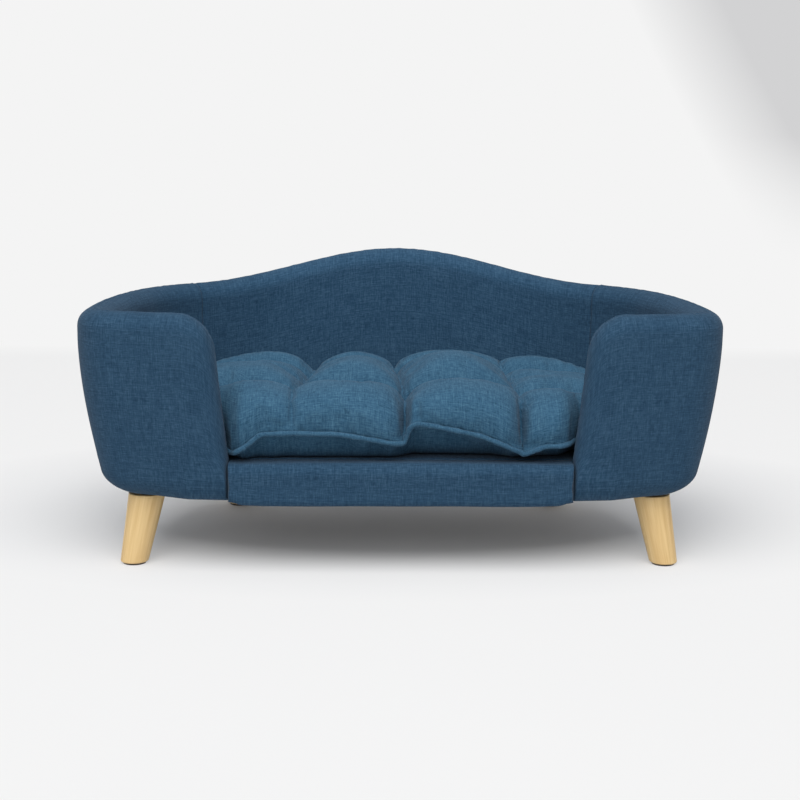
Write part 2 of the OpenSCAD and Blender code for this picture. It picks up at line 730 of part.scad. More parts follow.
// Cushion outline: inside the wall at the seam, with room for the piping, and
// straight over the zip and its slider
slider_l = 11;
seam_z = seat_z + seam_rise;
cushion_fit = 1.2;
cushion_low_z = seat_z + soft_gap;
function cushion_edge(s) = [leaned(s, seam_z), wall_t + piping_d + cushion_fit];
rear_table = [for (f = [0:0.04:1]) let (s = run2 + f * (run5 - run2)) plan(s, cushion_edge(s))];
wing_table = [for (f = [1:-0.1:0]) let (s = f * run1) plan(s, cushion_edge(s))];
cushion_half_w = -rear_table[0][0];
bow_in = 16;
bow_out = 14;
function smooth(v) = let (q = clamp1(v)) q * q * (3 - 2 * q);
function front_y(x) =
    let (
        near = depth(cushion_front), far = lookup(-abs(x), wing_table),
        f = smooth((abs(x) - seat_gap / 2 + bow_in) / (bow_in + bow_out))
    )
    near + (far - near) * f;
zip_half_w = zip_length / 2 + slider_l;
function rear_y(x) = min(lookup(-max(abs(x), zip_half_w), rear_table), depth(cushion_back));
tuft_mid_y = depth((cushion_front + cushion_back) / 2);
tuft_pitch_x = seat_gap / 2 - tuft_side;
tuft_xs = [-tuft_pitch_x, 0, tuft_pitch_x];
tuft_ys = [tuft_mid_y - tuft_pitch_y / 2, tuft_mid_y + tuft_pitch_y / 2];

// Columns and rows of a cushion surface: fine ones for the top, plain ones elsewhere
fine_puff_shares = [0.15, 0.5, 0.85, 1];
fine_end_shares = [0.3, 0.55, 0.78, 0.92, 1];
fine_edge_shares = [0, 0.1, 0.3, 0.6, 0.87, 1];
plain_puff_shares = [0.5, 1];
plain_end_shares = [0.55, 0.92, 1];
plain_edge_shares = [0, 0.13, 0.5, 1];
bow_xs = [seat_gap / 2 - bow_in, seat_gap / 2, seat_gap / 2 + bow_out];
function columns(puff_shares, end_shares) =
    let (half = concat([for (f = puff_shares) tuft_pitch_x * f], bow_xs,
        [for (f = end_shares) bow_xs[2] + (cushion_half_w - bow_xs[2]) * f]))
    concat([for (i = [len(half) - 1:-1:0]) -half[i]], [0], half);
fine_xs = columns(fine_puff_shares, fine_end_shares);
plain_xs = columns(plain_puff_shares, plain_end_shares);
function rows_at(x, edge_shares, puff_shares) =
    let (
        a = front_y(x), b = rear_y(x), w = (b - a) / (rear_y(0) - front_y(0)),
        t1 = a + (tuft_ys[0] - front_y(0)) * w, t2 = b - (rear_y(0) - tuft_ys[1]) * w
    )
    concat([for (f = edge_shares) a + f * (t1 - a)], [for (f = puff_shares) t1 + (t2 - t1) * f],
        [for (i = [len(edge_shares) - 2:-1:0]) b - (b - t2) * edge_shares[i]]);
crown_power_share = 5;
crease_power_share = 0.7;
tuft_spread_share = 0.16;
function edge_share(u) = sqrt(max(0, 1 - pow(abs(u), crown_power_share)));
function puff(v, pitch) = pow(abs(sin(180 * v / pitch)), crease_power_share);
function crown_at(x, y, a, b) =
    b - a < short_run ? 0
    : edge_share(x / cushion_half_w) * edge_share(2 * (y - a) / (b - a) - 1);
function tuft_at(x, y) =
    max([for (tx = tuft_xs) for (ty = tuft_ys)
        exp(-pow(norm([x - tx, y - ty]) / tuft_pitch_x / tuft_spread_share, 2))]);
function puff_at(x, y) =
    min(abs(x) > tuft_pitch_x * 3 / 2 ? 1 : puff(x, tuft_pitch_x),
        puff(y - tuft_ys[0], tuft_pitch_y));
function rise_at(x, y, a, b) =
    crown_at(x, y, a, b) * (crown - crease * (1 - puff_at(x, y)) - tuft_dip * tuft_at(x, y));
base_drop = seam_z - layer_gap / 2 - tick_t - cushion_low_z;
function drop_at(x, y, a, b) = base_drop * sqrt(crown_at(x, y, a, b));

// Grid of a surface: kind 1 rises above the seam, kind -1 drops below it
function cushion_grid(xs, edge_shares, puff_shares, kind, t, share, shrink_share) =
    [for (x = xs)
        let (ys = rows_at(x, edge_shares, puff_shares), a = ys[0], b = ys[len(ys) - 1])
        [for (y = ys)
            [x * shrink_share, tuft_mid_y + (y - tuft_mid_y) * shrink_share,
                seam_z + kind * (layer_gap / 2 + t
                    + share * (kind > 0 ? rise_at(x, y, a, b) : drop_at(x, y, a, b)))]]];
function fine_grid(kind, t) =
    cushion_grid(fine_xs, fine_edge_shares, fine_puff_shares, kind, t, 1, 1);
function plain_grid(kind, t, share, shrink_share) =
    cushion_grid(plain_xs, plain_edge_shares, plain_puff_shares, kind, t, share, shrink_share);
fill_share = 0.92;
fill_shrink_share = 0.975;
module cushion_top_cover() {
    color("steelblue") sheet_solid(fine_grid(1, tick_t), fine_grid(1, 0));
}
module cushion_bottom_cover() {
    color("steelblue") sheet_solid(plain_grid(-1, 0, 1, 1), plain_grid(-1, tick_t, 1, 1));
}
module cushion_filling() {
    color("white") sheet_solid(plain_grid(1, layer_gap, fill_share, fill_shrink_share),
        plain_grid(-1, layer_gap, fill_share, fill_shrink_share));
}

// Piping: a tube along the seam all round
piping_sides = 6;
module cushion_piping() {
    ring = concat([for (x = fine_xs) [x, front_y(x)]],
        [for (i = [len(fine_xs) - 1:-1:0]) [fine_xs[i], rear_y(fine_xs[i])]]);
    n = len(ring);
    r = piping_d / 2;
    points = [for (i = [0:n - 1])
        let (d = ring[(i + 1) % n] - ring[(i + n - 1) % n], out = [d[1], -d[0]] / norm(d))
        for (k = [0:piping_sides - 1])
            let (a = 360 * k / piping_sides, p = ring[i] + out * (r + layer_gap + r * cos(a)))
            [p[0], p[1], seam_z + r * sin(a)]];
    faces = [for (i = [0:n - 1]) for (k = [0:piping_sides - 1])
        let (j = (i + 1) % n, m = (k + 1) % piping_sides)
        each quad(i * piping_sides + k, i * piping_sides + m,
            j * piping_sides + m, j * piping_sides + k)];
    color("steelblue") polyhedron(points = points, faces = faces, convexity = 10);
}
tie_d = 1.6;
module tuft_ties() {
    color("steelblue") for (x = tuft_xs) for (y = tuft_ys) {
        a = front_y(x);
        b = rear_y(x);
        low = seam_z - layer_gap / 2 - drop_at(x, y, a, b) + layer_gap;
        high = seam_z + layer_gap / 2 + rise_at(x, y, a, b) - layer_gap;
        translate([x, y, low]) cylinder(d = tie_d, h = high - low, $fn = 16);
    }
}

// Zip on the slope below the straight rear seam; here Y points out of the slope
slope_low_y = rear_y(0) - plain_edge_shares[1] * (rear_y(0) - tuft_ys[1]);
slope_drop = drop_at(0, slope_low_y, front_y(0), rear_y(0));
slope_in = rear_y(0) - slope_low_y;
zip_tilt = -atan2(slope_in, slope_drop);
zip_y = rear_y(0) - slope_in / 2;
zip_z = seam_z - layer_gap / 2 - tick_t - slope_drop / 2;
tape_t = 0.8;
tape_h = 13;
tooth_w = 1.4;
tooth_h = 5;
tooth_t = 1.6;
tooth_pitch = 3;
slider_h = 10;
slider_wall = 1.2;
teeth_y = soft_gap + tape_t;
slider_y = teeth_y + soft_gap;
slider_t = tooth_t + slider_wall + soft_gap;
slider_x = zip_length / 2 - slider_l * 3 / 2;
bar_d = 1;
knuckle_d = 2.2;
knuckle_l = 3.2;
lug_t = 0.8;
bar_y = slider_y + slider_t + knuckle_d / 2 + layer_gap;
pull_l = 11;
pull_t = 0.9;
grip_l = 7;
grip_h = 6;
module on_slope(x) { translate([x, zip_y, zip_z]) rotate([zip_tilt, 0, 0]) children(); }
module zip_tape() {
    color("midnightblue") on_slope(-zip_length / 2) translate([0, soft_gap, -tape_h / 2])
        cube([zip_length, tape_t, tape_h]);
}
module zip_teeth() {
    count = floor((zip_length - 2 * slider_l) / tooth_pitch);
    color("slategray") on_slope(-count * tooth_pitch / 2) {
        translate([0, teeth_y, -tooth_h / 4]) cube([count * tooth_pitch, tooth_t / 2, tooth_h / 2]);
        for (i = [0:count - 1])
            translate([i * tooth_pitch, teeth_y, -tooth_h / 2])
                cube([tooth_w, tooth_t, tooth_h]);
    }
}
module zip_slider() {
    room = tooth_h + 2 * soft_gap;
    lug = knuckle_l / 2 + layer_gap;
    color("silver") on_slope(slider_x) {
        difference() {
            translate([-slider_l / 2, slider_y, -slider_h / 2])
                cube([slider_l, slider_t, slider_h]);
            translate([-slider_l / 2 - cut_over, slider_y - cut_over, -room / 2])
                cube([slider_l + 2 * cut_over, tooth_t + cut_over, room]);
        }
        for (side = [-1, 1])
            translate([-knuckle_d / 2, slider_y + slider_t, side * (lug + lug_t / 2) - lug_t / 2])
                cube([knuckle_d, bar_y - slider_y - slider_t + knuckle_d / 2, lug_t]);
        translate([0, bar_y, -lug - lug_t / 2]) cylinder(d = bar_d, h = 2 * lug + lug_t, $fn = 24);
    }
}
module zip_pull() {
    color("silver") on_slope(slider_x) translate([0, bar_y, 0]) difference() {
        union() {
            translate([0, 0, -knuckle_l / 2]) cylinder(d = knuckle_d, h = knuckle_l, $fn = 24);
            translate([0, -pull_t / 2, -knuckle_l / 2]) cube([pull_l, pull_t, knuckle_l]);
            translate([pull_l - grip_l, -pull_t / 2, -grip_h / 2]) cube([grip_l, pull_t, grip_h]);
        }
        translate([0, 0, -knuckle_l])
            cylinder(d = bar_d + 2 * thread_gap, h = 2 * knuckle_l, $fn = 24);
    }
}

bottom_panel();
front_rail();
back_rail();
side_rail();  // side_rail_left
on_right() side_rail();  // side_rail_right
centre_brace();
corner_blocks();
frame_screws();
tee_nuts();
deck_panel();
deck_cloth();
rail_padding();
rail_cover();
dust_cover();
cover_staples();
wall_board(board_stations);  // wall_board_left
wall_board(back_stations);  // wall_board_back
on_right() wall_board(board_stations);  // wall_board_right
outer_padding(padding_stations);  // outer_padding_left
outer_padding(back_stations);  // outer_padding_back
on_right() outer_padding(padding_stations);  // outer_padding_right
inner_padding(padding_stations);  // inner_padding_left
inner_padding(back_stations);  // inner_padding_back
on_right() inner_padding(padding_stations);  // inner_padding_right
side_cover();  // outer_cover_left
outer_cover(back_stations);  // outer_cover_back
on_right() side_cover();  // outer_cover_right
inner_cover(cover_stations);  // inner_cover_left
inner_cover(back_stations);  // inner_cover_back
on_right() inner_cover(cover_stations);  // inner_cover_right
leg(0);  // leg_front_left
leg(1);  // leg_front_right
leg(2);  // leg_rear_left
leg(3);  // leg_rear_right
hanger_bolt(0);  // bolt_front_left
hanger_bolt(1);  // bolt_front_right
hanger_bolt(2);  // bolt_rear_left
hanger_bolt(3);  // bolt_rear_right
glide(0);  // glide_front_left
glide(1);  // glide_front_right
glide(2);  // glide_rear_left
glide(3);  // glide_rear_right
cushion_top_cover();
cushion_bottom_cover();
cushion_piping();
cushion_filling();
tuft_ties();
zip_tape();
zip_teeth();
zip_slider();
zip_pull();
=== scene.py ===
import json
import math

import bpy
import numpy as np
from mathutils import Matrix, Vector

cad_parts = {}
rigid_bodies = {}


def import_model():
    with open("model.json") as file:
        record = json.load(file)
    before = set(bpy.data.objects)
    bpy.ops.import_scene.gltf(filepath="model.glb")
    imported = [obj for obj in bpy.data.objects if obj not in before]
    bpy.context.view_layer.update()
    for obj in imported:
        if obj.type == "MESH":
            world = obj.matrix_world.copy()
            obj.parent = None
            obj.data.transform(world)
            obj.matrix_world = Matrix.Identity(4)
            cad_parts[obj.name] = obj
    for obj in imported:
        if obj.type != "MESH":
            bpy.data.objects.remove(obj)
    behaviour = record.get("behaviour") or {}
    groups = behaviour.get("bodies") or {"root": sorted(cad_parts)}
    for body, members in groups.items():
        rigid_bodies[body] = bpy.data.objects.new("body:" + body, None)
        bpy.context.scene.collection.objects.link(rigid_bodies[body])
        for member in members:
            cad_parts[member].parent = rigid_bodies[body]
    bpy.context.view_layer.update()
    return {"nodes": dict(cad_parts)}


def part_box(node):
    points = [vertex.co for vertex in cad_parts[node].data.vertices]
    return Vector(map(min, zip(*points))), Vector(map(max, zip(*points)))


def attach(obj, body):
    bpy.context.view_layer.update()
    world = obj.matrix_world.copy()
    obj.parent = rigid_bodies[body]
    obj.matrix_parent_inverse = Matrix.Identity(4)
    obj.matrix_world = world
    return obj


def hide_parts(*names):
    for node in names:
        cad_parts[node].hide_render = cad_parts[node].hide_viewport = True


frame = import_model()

nodes = frame["nodes"]
LEGS = ("front_left", "front_right", "rear_left", "rear_right")


# Heights that the frame gives
under_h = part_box("outer_cover_left")[0].z
seat_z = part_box("deck_cloth")[1].z
deck_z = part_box("deck_panel")[1].z
crest_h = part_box("outer_cover_back")[1].z
dust_low, dust_high = (corner.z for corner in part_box("dust_cover"))

# Sizes of the wall's plan and section, as the frame was built
body_w = 0.700
rim_h = 0.280
wall_t = 0.038
half_t = wall_t / 2
cloth_t = 0.002
layer_gap = 0.0002
part_gap = 0.0003
plan_radii = np.array([0.420, 0.052, 0.480, 0.175])
plan_turns = np.radians([12, 74, 20, 60])
toe = math.radians(3)
rim_gap = 0.404
seat_gap = 0.371
lean = 0.018
upright_h = 0.247
under_round_h = 0.025
side_round_w, wing_round_w, back_round_w = 0.040, 0.012, 0.022
wing_top_r = 0.038
swell_half_w = 0.255
lean_power = 1.6
wing_lean_share, back_lean_share = 0.35, 0.45
lean_run = 0.150
margin_w = 0.010
tuck_r = 0.004
round_z = under_h + under_round_h
seam_share = 0.6
fan_past = 0.010

# Plan of the left half: headings, places and lengths where its stretches start
heads = math.pi - toe - np.concatenate([[0], np.cumsum(plan_turns)])
shift_x = plan_radii * (np.sin(heads[:-1]) - np.sin(heads[1:]))
shift_y = plan_radii * (np.cos(heads[1:]) - np.cos(heads[:-1]))
plan_x = -body_w / 2 - shift_x[:2].sum() - plan_radii[2] * (math.sin(heads[2]) - 1)
plan_xs = plan_x + np.concatenate([[0], np.cumsum(shift_x)])
plan_ys = np.concatenate([[0], np.cumsum(shift_y)])
back_r = -plan_xs[4] / math.sin(heads[4])
plan_radii = np.append(plan_radii, back_r)
body_d = plan_ys[4] + back_r * (1 - math.cos(heads[4]))
runs = np.concatenate([[0], np.cumsum(plan_radii[:4] * plan_turns), [0]])
runs[5] = runs[4] + back_r * heads[4]
heads = np.append(heads, 0)
seam_run = runs[3] + (runs[4] - runs[3]) * seam_share
fan_runs = np.array([fan_past, runs[2] + fan_past])


def smooth(v, low=0.0, high=1.0):
    """Eased step from 0 at low to 1 at high."""
    q = np.clip((v - low) / (high - low), 0, 1)
    return q * q * (3 - 2 * q)


def heading(s):
    return np.interp(s, runs, heads)


def lean_heading(s):
    """Direction along which the wall leans: it fans out round a front corner."""
    places = np.concatenate([[0], fan_runs, runs[3:]])
    return np.interp(s, places, np.concatenate([[heads[0]], heading(fan_runs), heads[3:]]))


def near_half(s):
    return np.where(s > runs[5], 2 * runs[5] - s, s)


def plan(s, leaned, inward):
    """Points of the plan at lengths s, moved in along the lean and square to the face."""
    near = near_half(s)
    k = np.clip(np.searchsorted(runs, near, side="right") - 1, 0, 4)
    h, g, start = heading(near), lean_heading(near), heads[k]
    before = np.minimum(near, 0)
    x = plan_xs[k] + plan_radii[k] * (np.sin(start) - np.sin(h)) + before * np.cos(h)
    y = plan_ys[k] + plan_radii[k] * (np.cos(h) - np.cos(start)) + before * np.sin(h)
    x = x + leaned * np.sin(g) + inward * np.sin(h)
    y = y - leaned * np.cos(g) - inward * np.cos(h) - body_d / 2
    return np.where(s > runs[5], -x, x), y


def depth(d):
    """Y of a place d behind the wings' front."""
    return d - body_d / 2


def side_part(s):
    return np.clip(near_half(s) / lean_run, 0, 1)


def back_part(s):
    return np.clip((near_half(s) - runs[3]) / (runs[4] - runs[3]), 0, 1)


def leaned_at(s, z):
    """How far the wall's faces lean in at length s and height z."""
    amount = lean * (np.clip(upright_h - z, 0, None) / (upright_h - seat_z)) ** lean_power
    share = wing_lean_share + (1 - wing_lean_share) * side_part(s)
    return amount * (share - (1 - back_lean_share) * back_part(s))


def round_w(s):
    wide = wing_round_w + (side_round_w - wing_round_w) * side_part(s)
    return wide - (side_round_w - back_round_w) * back_part(s)


def face_in(s, z, t):
    """Lean and distance of the outer face at height z, under a layer of depth t."""
    q = np.clip((round_z - z) / (under_round_h - t), 0, 1)
    return leaned_at(s, z) + (round_w(s) - t) * (1 - np.sqrt(1 - q * q)), t


def end_run(z):
    """Where a wing's end stands along the plan at height z."""
    slope = (rim_gap - seat_gap) / 2 / (rim_h - seat_z)
    fall = np.clip(rim_h - np.maximum(z, seat_z), 0, None)
    return -(-plan_x - rim_gap / 2 + slope * fall) / math.cos(toe)


def swell(s):
    """How far the camel back's crest stands above the rim."""
    x = np.abs(plan(s, 0, 0)[0])
    wave = (crest_h - rim_h) * (1 + np.cos(math.pi * np.minimum(x / swell_half_w, 1))) / 2
    return np.where(near_half(s) > runs[3], wave, 0)


# Angles of the section's underside and of its top roll, and how many points its faces have
under_degs = np.linspace(80, 0, 13)
roll_degs = np.concatenate([np.linspace(9, 63, 7), [71, 78, 83, 86.5, 88.5]])
fall_count, down_count = 30, 28
# Heights below and above the seat between which a wing's end thickens
nose_below, nose_above = 0.016, 0.018
# Under a wing's end the cover starts this far in, at the panel's edge, and it goes over to the
# wall's middle between these heights below and above its lower edge
panel_n, fade_below, fade_above = 0.0033, 0.004, 0.010
# The cloth's length along the wall is measured this many points before the crest
level_before = 20


def wall_section(turn, s, t):
    """Section of the cover at one station, from the underside up and over to the deck.
    turn is the angle round a wing's end, where s is None, and a right angle elsewhere."""
    full = math.sin(turn)

    def run_at(z):
        if s is not None:
            return np.full_like(z, s)
        nose = tuck_r + (half_t - t - tuck_r) * smooth(z, seat_z - nose_below, seat_z + nose_above)
        return end_run(z) + t + nose * (1 - math.cos(turn))

    own = float(run_at(rim_h))
    drop_d, drop_r = max(0.0, own - float(end_run(rim_h)) - t), wing_top_r - t
    drop = drop_r - math.sqrt(drop_r**2 - (drop_r - drop_d) ** 2) if drop_d < drop_r else 0.0
    top = rim_h - t + float(swell(own)) - drop
    roll_r = half_t - t
    roll_z = top - roll_r

    under, roll = np.radians(under_degs), np.radians(roll_degs)
    z_under = round_z - (under_round_h - t) * np.sin(under)
    z_fall = roll_z + (round_z - roll_z) * np.linspace(1, 0, fall_count)[1:]
    z_roll = roll_z + roll_r * np.sin(roll)
    low_lean, low_n = face_in(own, under_h + t, t)

    def skin(z):
        """Outer face, drawn towards the wall's middle round the wing's end."""
        face = face_in(own, z, t)[0]
        panel = leaned_at(own, under_h) + (round_w(own) - cloth_t) * (1 - math.cos(under[0]))
        blend = smooth(z, round_z - fade_below, round_z + fade_above)
        core_l = panel + (leaned_at(own, z) - panel) * blend
        core_n = panel_n + (half_t - panel_n) * blend
        mix_n = core_n + (t - core_n) * full
        return core_l + (face - core_l) * full, np.minimum(mix_n, core_n - layer_gap / 2)

    side = np.maximum(layer_gap / 2, roll_r * full * np.cos(roll))
    down = roll_z + (seat_z + layer_gap - roll_z) * np.linspace(0, 1, down_count)
    inner_n = half_t + max(layer_gap / 2, roll_r * full)
    ones = np.ones(2)
    parts = [((under_h + t) * ones, low_lean * ones, low_n + np.array([margin_w, margin_w / 2])),
             (z_under, *skin(z_under)),
             (z_fall, *skin(z_fall)),
             (z_roll, leaned_at(own, z_roll), half_t - side),
             (np.array([top]), leaned_at(own, np.array([top])), np.array([half_t])),
             (z_roll[::-1], leaned_at(own, z_roll[::-1]), half_t + side[::-1]),
             (down, leaned_at(own, down), np.full(down_count, inner_n))]
    z, leans, ns = (np.concatenate(column) for column in zip(*parts))
    square = (leans + ns) * math.tan(toe) if s is None else 0
    x, y = plan(run_at(z) + square, leans, ns)
    apex = sum(len(part[0]) for part in parts[:4])
    return np.stack([x, y, z], 1), apex


def lengths(grid, axis):
    """Distances between a grid's neighbouring points, summed along one way from 0."""
    step = np.linalg.norm(np.diff(grid, axis=axis), axis=-1)
    start = np.zeros_like(step.take([0], axis))
    return np.concatenate([start, np.cumsum(step, axis)], axis)


def wall_grid(stations, t):
    """Grid of the cover's face at depth t over the stations, with its flat coordinates."""
    sections = [wall_section(turn, s, t) for turn, s in stations]
    grid, apex = np.array([points for points, _ in sections]), sections[0][1]
    girth = lengths(grid, 1)
    along = lengths(grid[:, apex - level_before], 0)
    return grid, np.repeat(along[:, None], grid.shape[1], 1), girth - girth[:, apex:apex + 1]


def nose_stations():
    """Stations round a wing's end, closer together beside its seam."""
    turns = np.concatenate([[0, 2, 4.5, 8], np.linspace(14, 90, 12)[:-1]])
    return [(math.radians(a), None) for a in turns]


def run_stations(a, b, step=0.006, beside=(0.0012, 0.0026)):
    """Stations along the wall, with two more beside the seam at their far end."""
    inner = np.linspace(a, b, int((b - a) / step))
    places = np.unique(np.concatenate([inner, b - np.array(beside)]))
    return [(math.pi / 2, float(s)) for s in places]


def normals_of(outer, inner):
    """Unit normals of the outer grid, which point away from the inner one."""
    n = np.cross(np.gradient(outer, axis=0), np.gradient(outer, axis=1))
    n /= np.maximum(np.linalg.norm(n, axis=2, keepdims=True), 1e-12)
    return n * np.sign((n * (outer - inner)).sum(2).mean())


def waviness(u, v, seed, sizes, amount):
    """Smooth unevenness of a stretched cloth: a sum of a few long waves."""
    rng = np.random.default_rng(seed)
    total = np.zeros_like(u)
    for size in sizes:
        for _ in range(3):
            a, phase = rng.uniform(0, math.pi), rng.uniform(0, 2 * math.pi)
            total += np.sin((u * math.cos(a) + v * math.sin(a)) * 2 * math.pi / size + phase)
    return amount * total / (3 * len(sizes))


# Meshes
def make_piece(name, points, faces, uv=None, mats=()):
    """Mesh object at the origin from points in metres, quads or triangles, and flat coordinates."""
    mesh = bpy.data.meshes.new(name)
    mesh.from_pydata(np.asarray(points, float).tolist(), [], [tuple(int(i) for i in f) for f in faces])
    mesh.update()
    if uv is not None:
        layer = mesh.uv_layers.new(name="UVMap")
        index = np.zeros(len(mesh.loops), np.int32)
        mesh.loops.foreach_get("vertex_index", index)
        layer.data.foreach_set("uv", np.asarray(uv, np.float32)[index].ravel())
    mesh.polygons.foreach_set("use_smooth", np.full(len(mesh.polygons), True))
    for mat in mats:
        mesh.materials.append(mat)
    return add_object(name, mesh)


def add_object(name, data):
    """New object of the scene with its mesh, lamp or camera."""
    obj = bpy.data.objects.new(name, data)
    bpy.context.scene.collection.objects.link(obj)
    return obj


def points_of(mesh):
    co = np.zeros(len(mesh.vertices) * 3)
    mesh.vertices.foreach_get("co", co)
    return co.reshape(-1, 3)


def grid_faces(rows, cols, offset=0, flip=False, loop_rows=False, loop_cols=False):
    """Quads of a grid whose points run along its columns first."""
    i, j = np.meshgrid(np.arange(rows if loop_rows else rows - 1),
                       np.arange(cols if loop_cols else cols - 1), indexing="ij")
    ni, nj = (i + 1) % rows, (j + 1) % cols
    quads = np.stack([i * cols + j, i * cols + nj, ni * cols + nj, ni * cols + j], -1)
    quads = quads.reshape(-1, 4) + offset
    return quads[:, ::-1] if flip else quads


def shell_piece(name, outer, inner, uv, mats, flip=False):
    """Closed shell between two grids of the same shape."""
    rows, cols = outer.shape[:2]
    count = rows * cols
    faces = [grid_faces(rows, cols, 0, flip), grid_faces(rows, cols, count, not flip)]
    top = np.arange(cols)
    left = np.arange(rows) * cols
    sides = ((top, False), (top + (rows - 1) * cols, True), (left, True), (left + cols - 1, False))
    for edge, turned in sides:
        a, b = edge[:-1], edge[1:]
        strip = np.stack([a, a + count, b + count, b], 1)
        faces.append(strip[:, ::-1] if turned != flip else strip)
    points = np.concatenate([outer.reshape(-1, 3), inner.reshape(-1, 3)])
    flat = uv.reshape(-1, 2)
    return outward_first(make_piece(name, points, np.concatenate(faces), np.concatenate([flat, flat]), mats))


def outward_first(piece):
    """Turns the faces outwards if the closed mesh is inside out."""
    mesh = piece.data
    mesh.calc_loop_triangles()
    tri = np.zeros(len(mesh.loop_triangles) * 3, np.int32)
    mesh.loop_triangles.foreach_get("vertices", tri)
    a, b, c = points_of(mesh)[tri.reshape(-1, 3)].swapaxes(0, 1)
    if np.einsum("ij,ij->i", a, np.cross(b, c)).sum() < 0:
        mesh.flip_normals()
    return piece


# Materials
def srgb(r, g, b):
    """Linear colour of a written one."""
    return tuple(c / 12.92 if c <= 0.04045 else ((c + 0.055) / 1.055) ** 2.4
                 for c in (r / 255, g / 255, b / 255)) + (1.0,)


class Tree:
    """Small helper that adds nodes and links to one tree."""

    def node(self, kind, inputs=(), **settings):
        node = self.tree.nodes.new(kind)
        for key, value in settings.items():
            setattr(node, key, value)
        for socket, value in dict(inputs).items():
            if isinstance(value, bpy.types.NodeSocket):
                self.tree.links.new(value, node.inputs[socket])
            else:
                node.inputs[socket].default_value = value
        return node

    def add(self, kind, inputs=(), **settings):
        """First output of a new node."""
        return self.node(kind, inputs, **settings).outputs[0]

    def maths(self, kind, first, *others):
        """One value worked on, or several taken together from the left."""
        if not others:
            return self.add("ShaderNodeMath", {0: first}, operation=kind)
        for other in others:
            first = self.add("ShaderNodeMath", {0: first, 1: other}, operation=kind)
        return first


class Nodes(Tree):
    """Builds one material's nodes."""

    def __init__(self, name, rough, spec=0.5, **constants):
        self.mat = bpy.data.materials.new(name)
        self.mat.use_nodes = True
        self.tree = self.mat.node_tree
        self.shader = self.tree.nodes["Principled BSDF"]
        self.shader.inputs["Roughness"].default_value = rough
        self.shader.inputs["Specular IOR Level"].default_value = spec
        for socket, value in constants.items():
            self.shader.inputs[socket.replace("_", " ")].default_value = value

    def coords(self, kind="UV", scale=(1, 1, 1), place=(0, 0, 0)):
        source = self.node("ShaderNodeTexCoord").outputs[kind]
        return self.add("ShaderNodeMapping", {"Vector": source, "Scale": scale, "Location": place})

    def noise(self, vector, detail=2.0, rough=0.5, warp=0.0):
        return self.add("ShaderNodeTexNoise", {"Vector": vector, "Scale": 1.0, "Detail": detail,
                                               "Roughness": rough, "Distortion": warp})

    def even_noise(self, pitch, detail=2.0):
        """Noise on the object's own coordinates, alike in all directions."""
        return self.noise(self.coords("Object", (pitch, pitch, pitch)), detail)

    def bands(self, scale, **details):
        """Level bands by height."""
        inputs = {"Vector": self.coords("Object"), "Scale": scale, **details}
        return self.node("ShaderNodeTexWave", inputs, bands_direction="Z").outputs["Fac"]

    def spread(self, value, low, high, to_low=0.0, to_high=1.0):
        return self.add("ShaderNodeMapRange", {"Value": value, "From Min": low, "From Max": high,
                                               "To Min": to_low, "To Max": to_high})

    def ramp(self, value, *stops):
        """Colours as written, each at its place between 0 and 1."""
        node = self.node("ShaderNodeValToRGB", {"Fac": value})
        ends = node.color_ramp.elements
        for element, (place, colour) in zip((ends[0], ends[1]), (stops[0], stops[-1])):
            element.position, element.color = place, srgb(*colour)
        for place, colour in stops[1:-1]:
            ends.new(place).color = srgb(*colour)
        return node.outputs["Color"]

    def finish(self, colour, height, strength, distance, rough=None):
        self.tree.links.new(colour, self.shader.inputs["Base Color"])
        if rough is not None:
            self.tree.links.new(rough, self.shader.inputs["Roughness"])
        bump = self.add("ShaderNodeBump", {"Height": height, "Strength": strength, "Distance": distance})
        self.tree.links.new(bump, self.shader.inputs["Normal"])
        return self.mat


# Pitch of the linen's threads in metres, and how often in a metre a thread, a slub and a cloud change
thread_pitch = 0.00085
thread_runs, slub_runs, cloud_runs = 150, 34, 22


def linen(name, dark, middle, light, along=1.0, painted_light=0.0):
    """Slubby plain weave: uneven threads both ways, on flat coordinates in metres.
    Given a share as its last argument, it paints light on a panel: the colour is lighter towards the middle
    across X."""
    m = Nodes(name, 0.95, 0.06, Sheen_Weight=0.06, Sheen_Roughness=0.5)
    across = 1 / thread_pitch
    warp = m.noise(m.coords(scale=(across, thread_runs * along, 1)), 2.0, 0.55)
    weft = m.noise(m.coords(scale=(thread_runs * along, across, 1), place=(31, 17, 5)), 2.0, 0.55)
    slub_a = m.noise(m.coords(scale=(across * 0.5, slub_runs, 1), place=(7, 3, 2)), 1.5)
    slub_b = m.noise(m.coords(scale=(slub_runs, across * 0.5, 1), place=(2, 9, 4)), 1.5)
    cloud = m.noise(m.coords(scale=(cloud_runs, cloud_runs, 1)), 3.0)
    low = m.maths("MULTIPLY", m.maths("MINIMUM", warp, weft), 0.8)
    threads = m.maths("MULTIPLY", m.maths("ADD", m.maths("MAXIMUM", warp, weft), low), 0.62)
    slubs = m.maths("MULTIPLY", m.maths("ADD", slub_a, slub_b), 0.34)
    total = m.maths("ADD", threads, slubs, m.maths("MULTIPLY", cloud, 0.10))
    colour = m.ramp(m.spread(total, 0.66, 1.22), (0.10, dark), (0.5, middle), (0.92, light))
    # painted light: the colour is lifted towards the panel's middle across X, by the share given
    if painted_light:
        x = m.add("ShaderNodeSeparateXYZ", {"Vector": m.coords("Object")})
        share = m.spread(m.maths("ABSOLUTE", x), 0.12, 0.27, 1 + painted_light, 1.0)
        colour = m.add("ShaderNodeVectorMath", {0: colour, "Scale": share}, operation="SCALE")
    return m.finish(colour, total, 0.5, 0.0006)


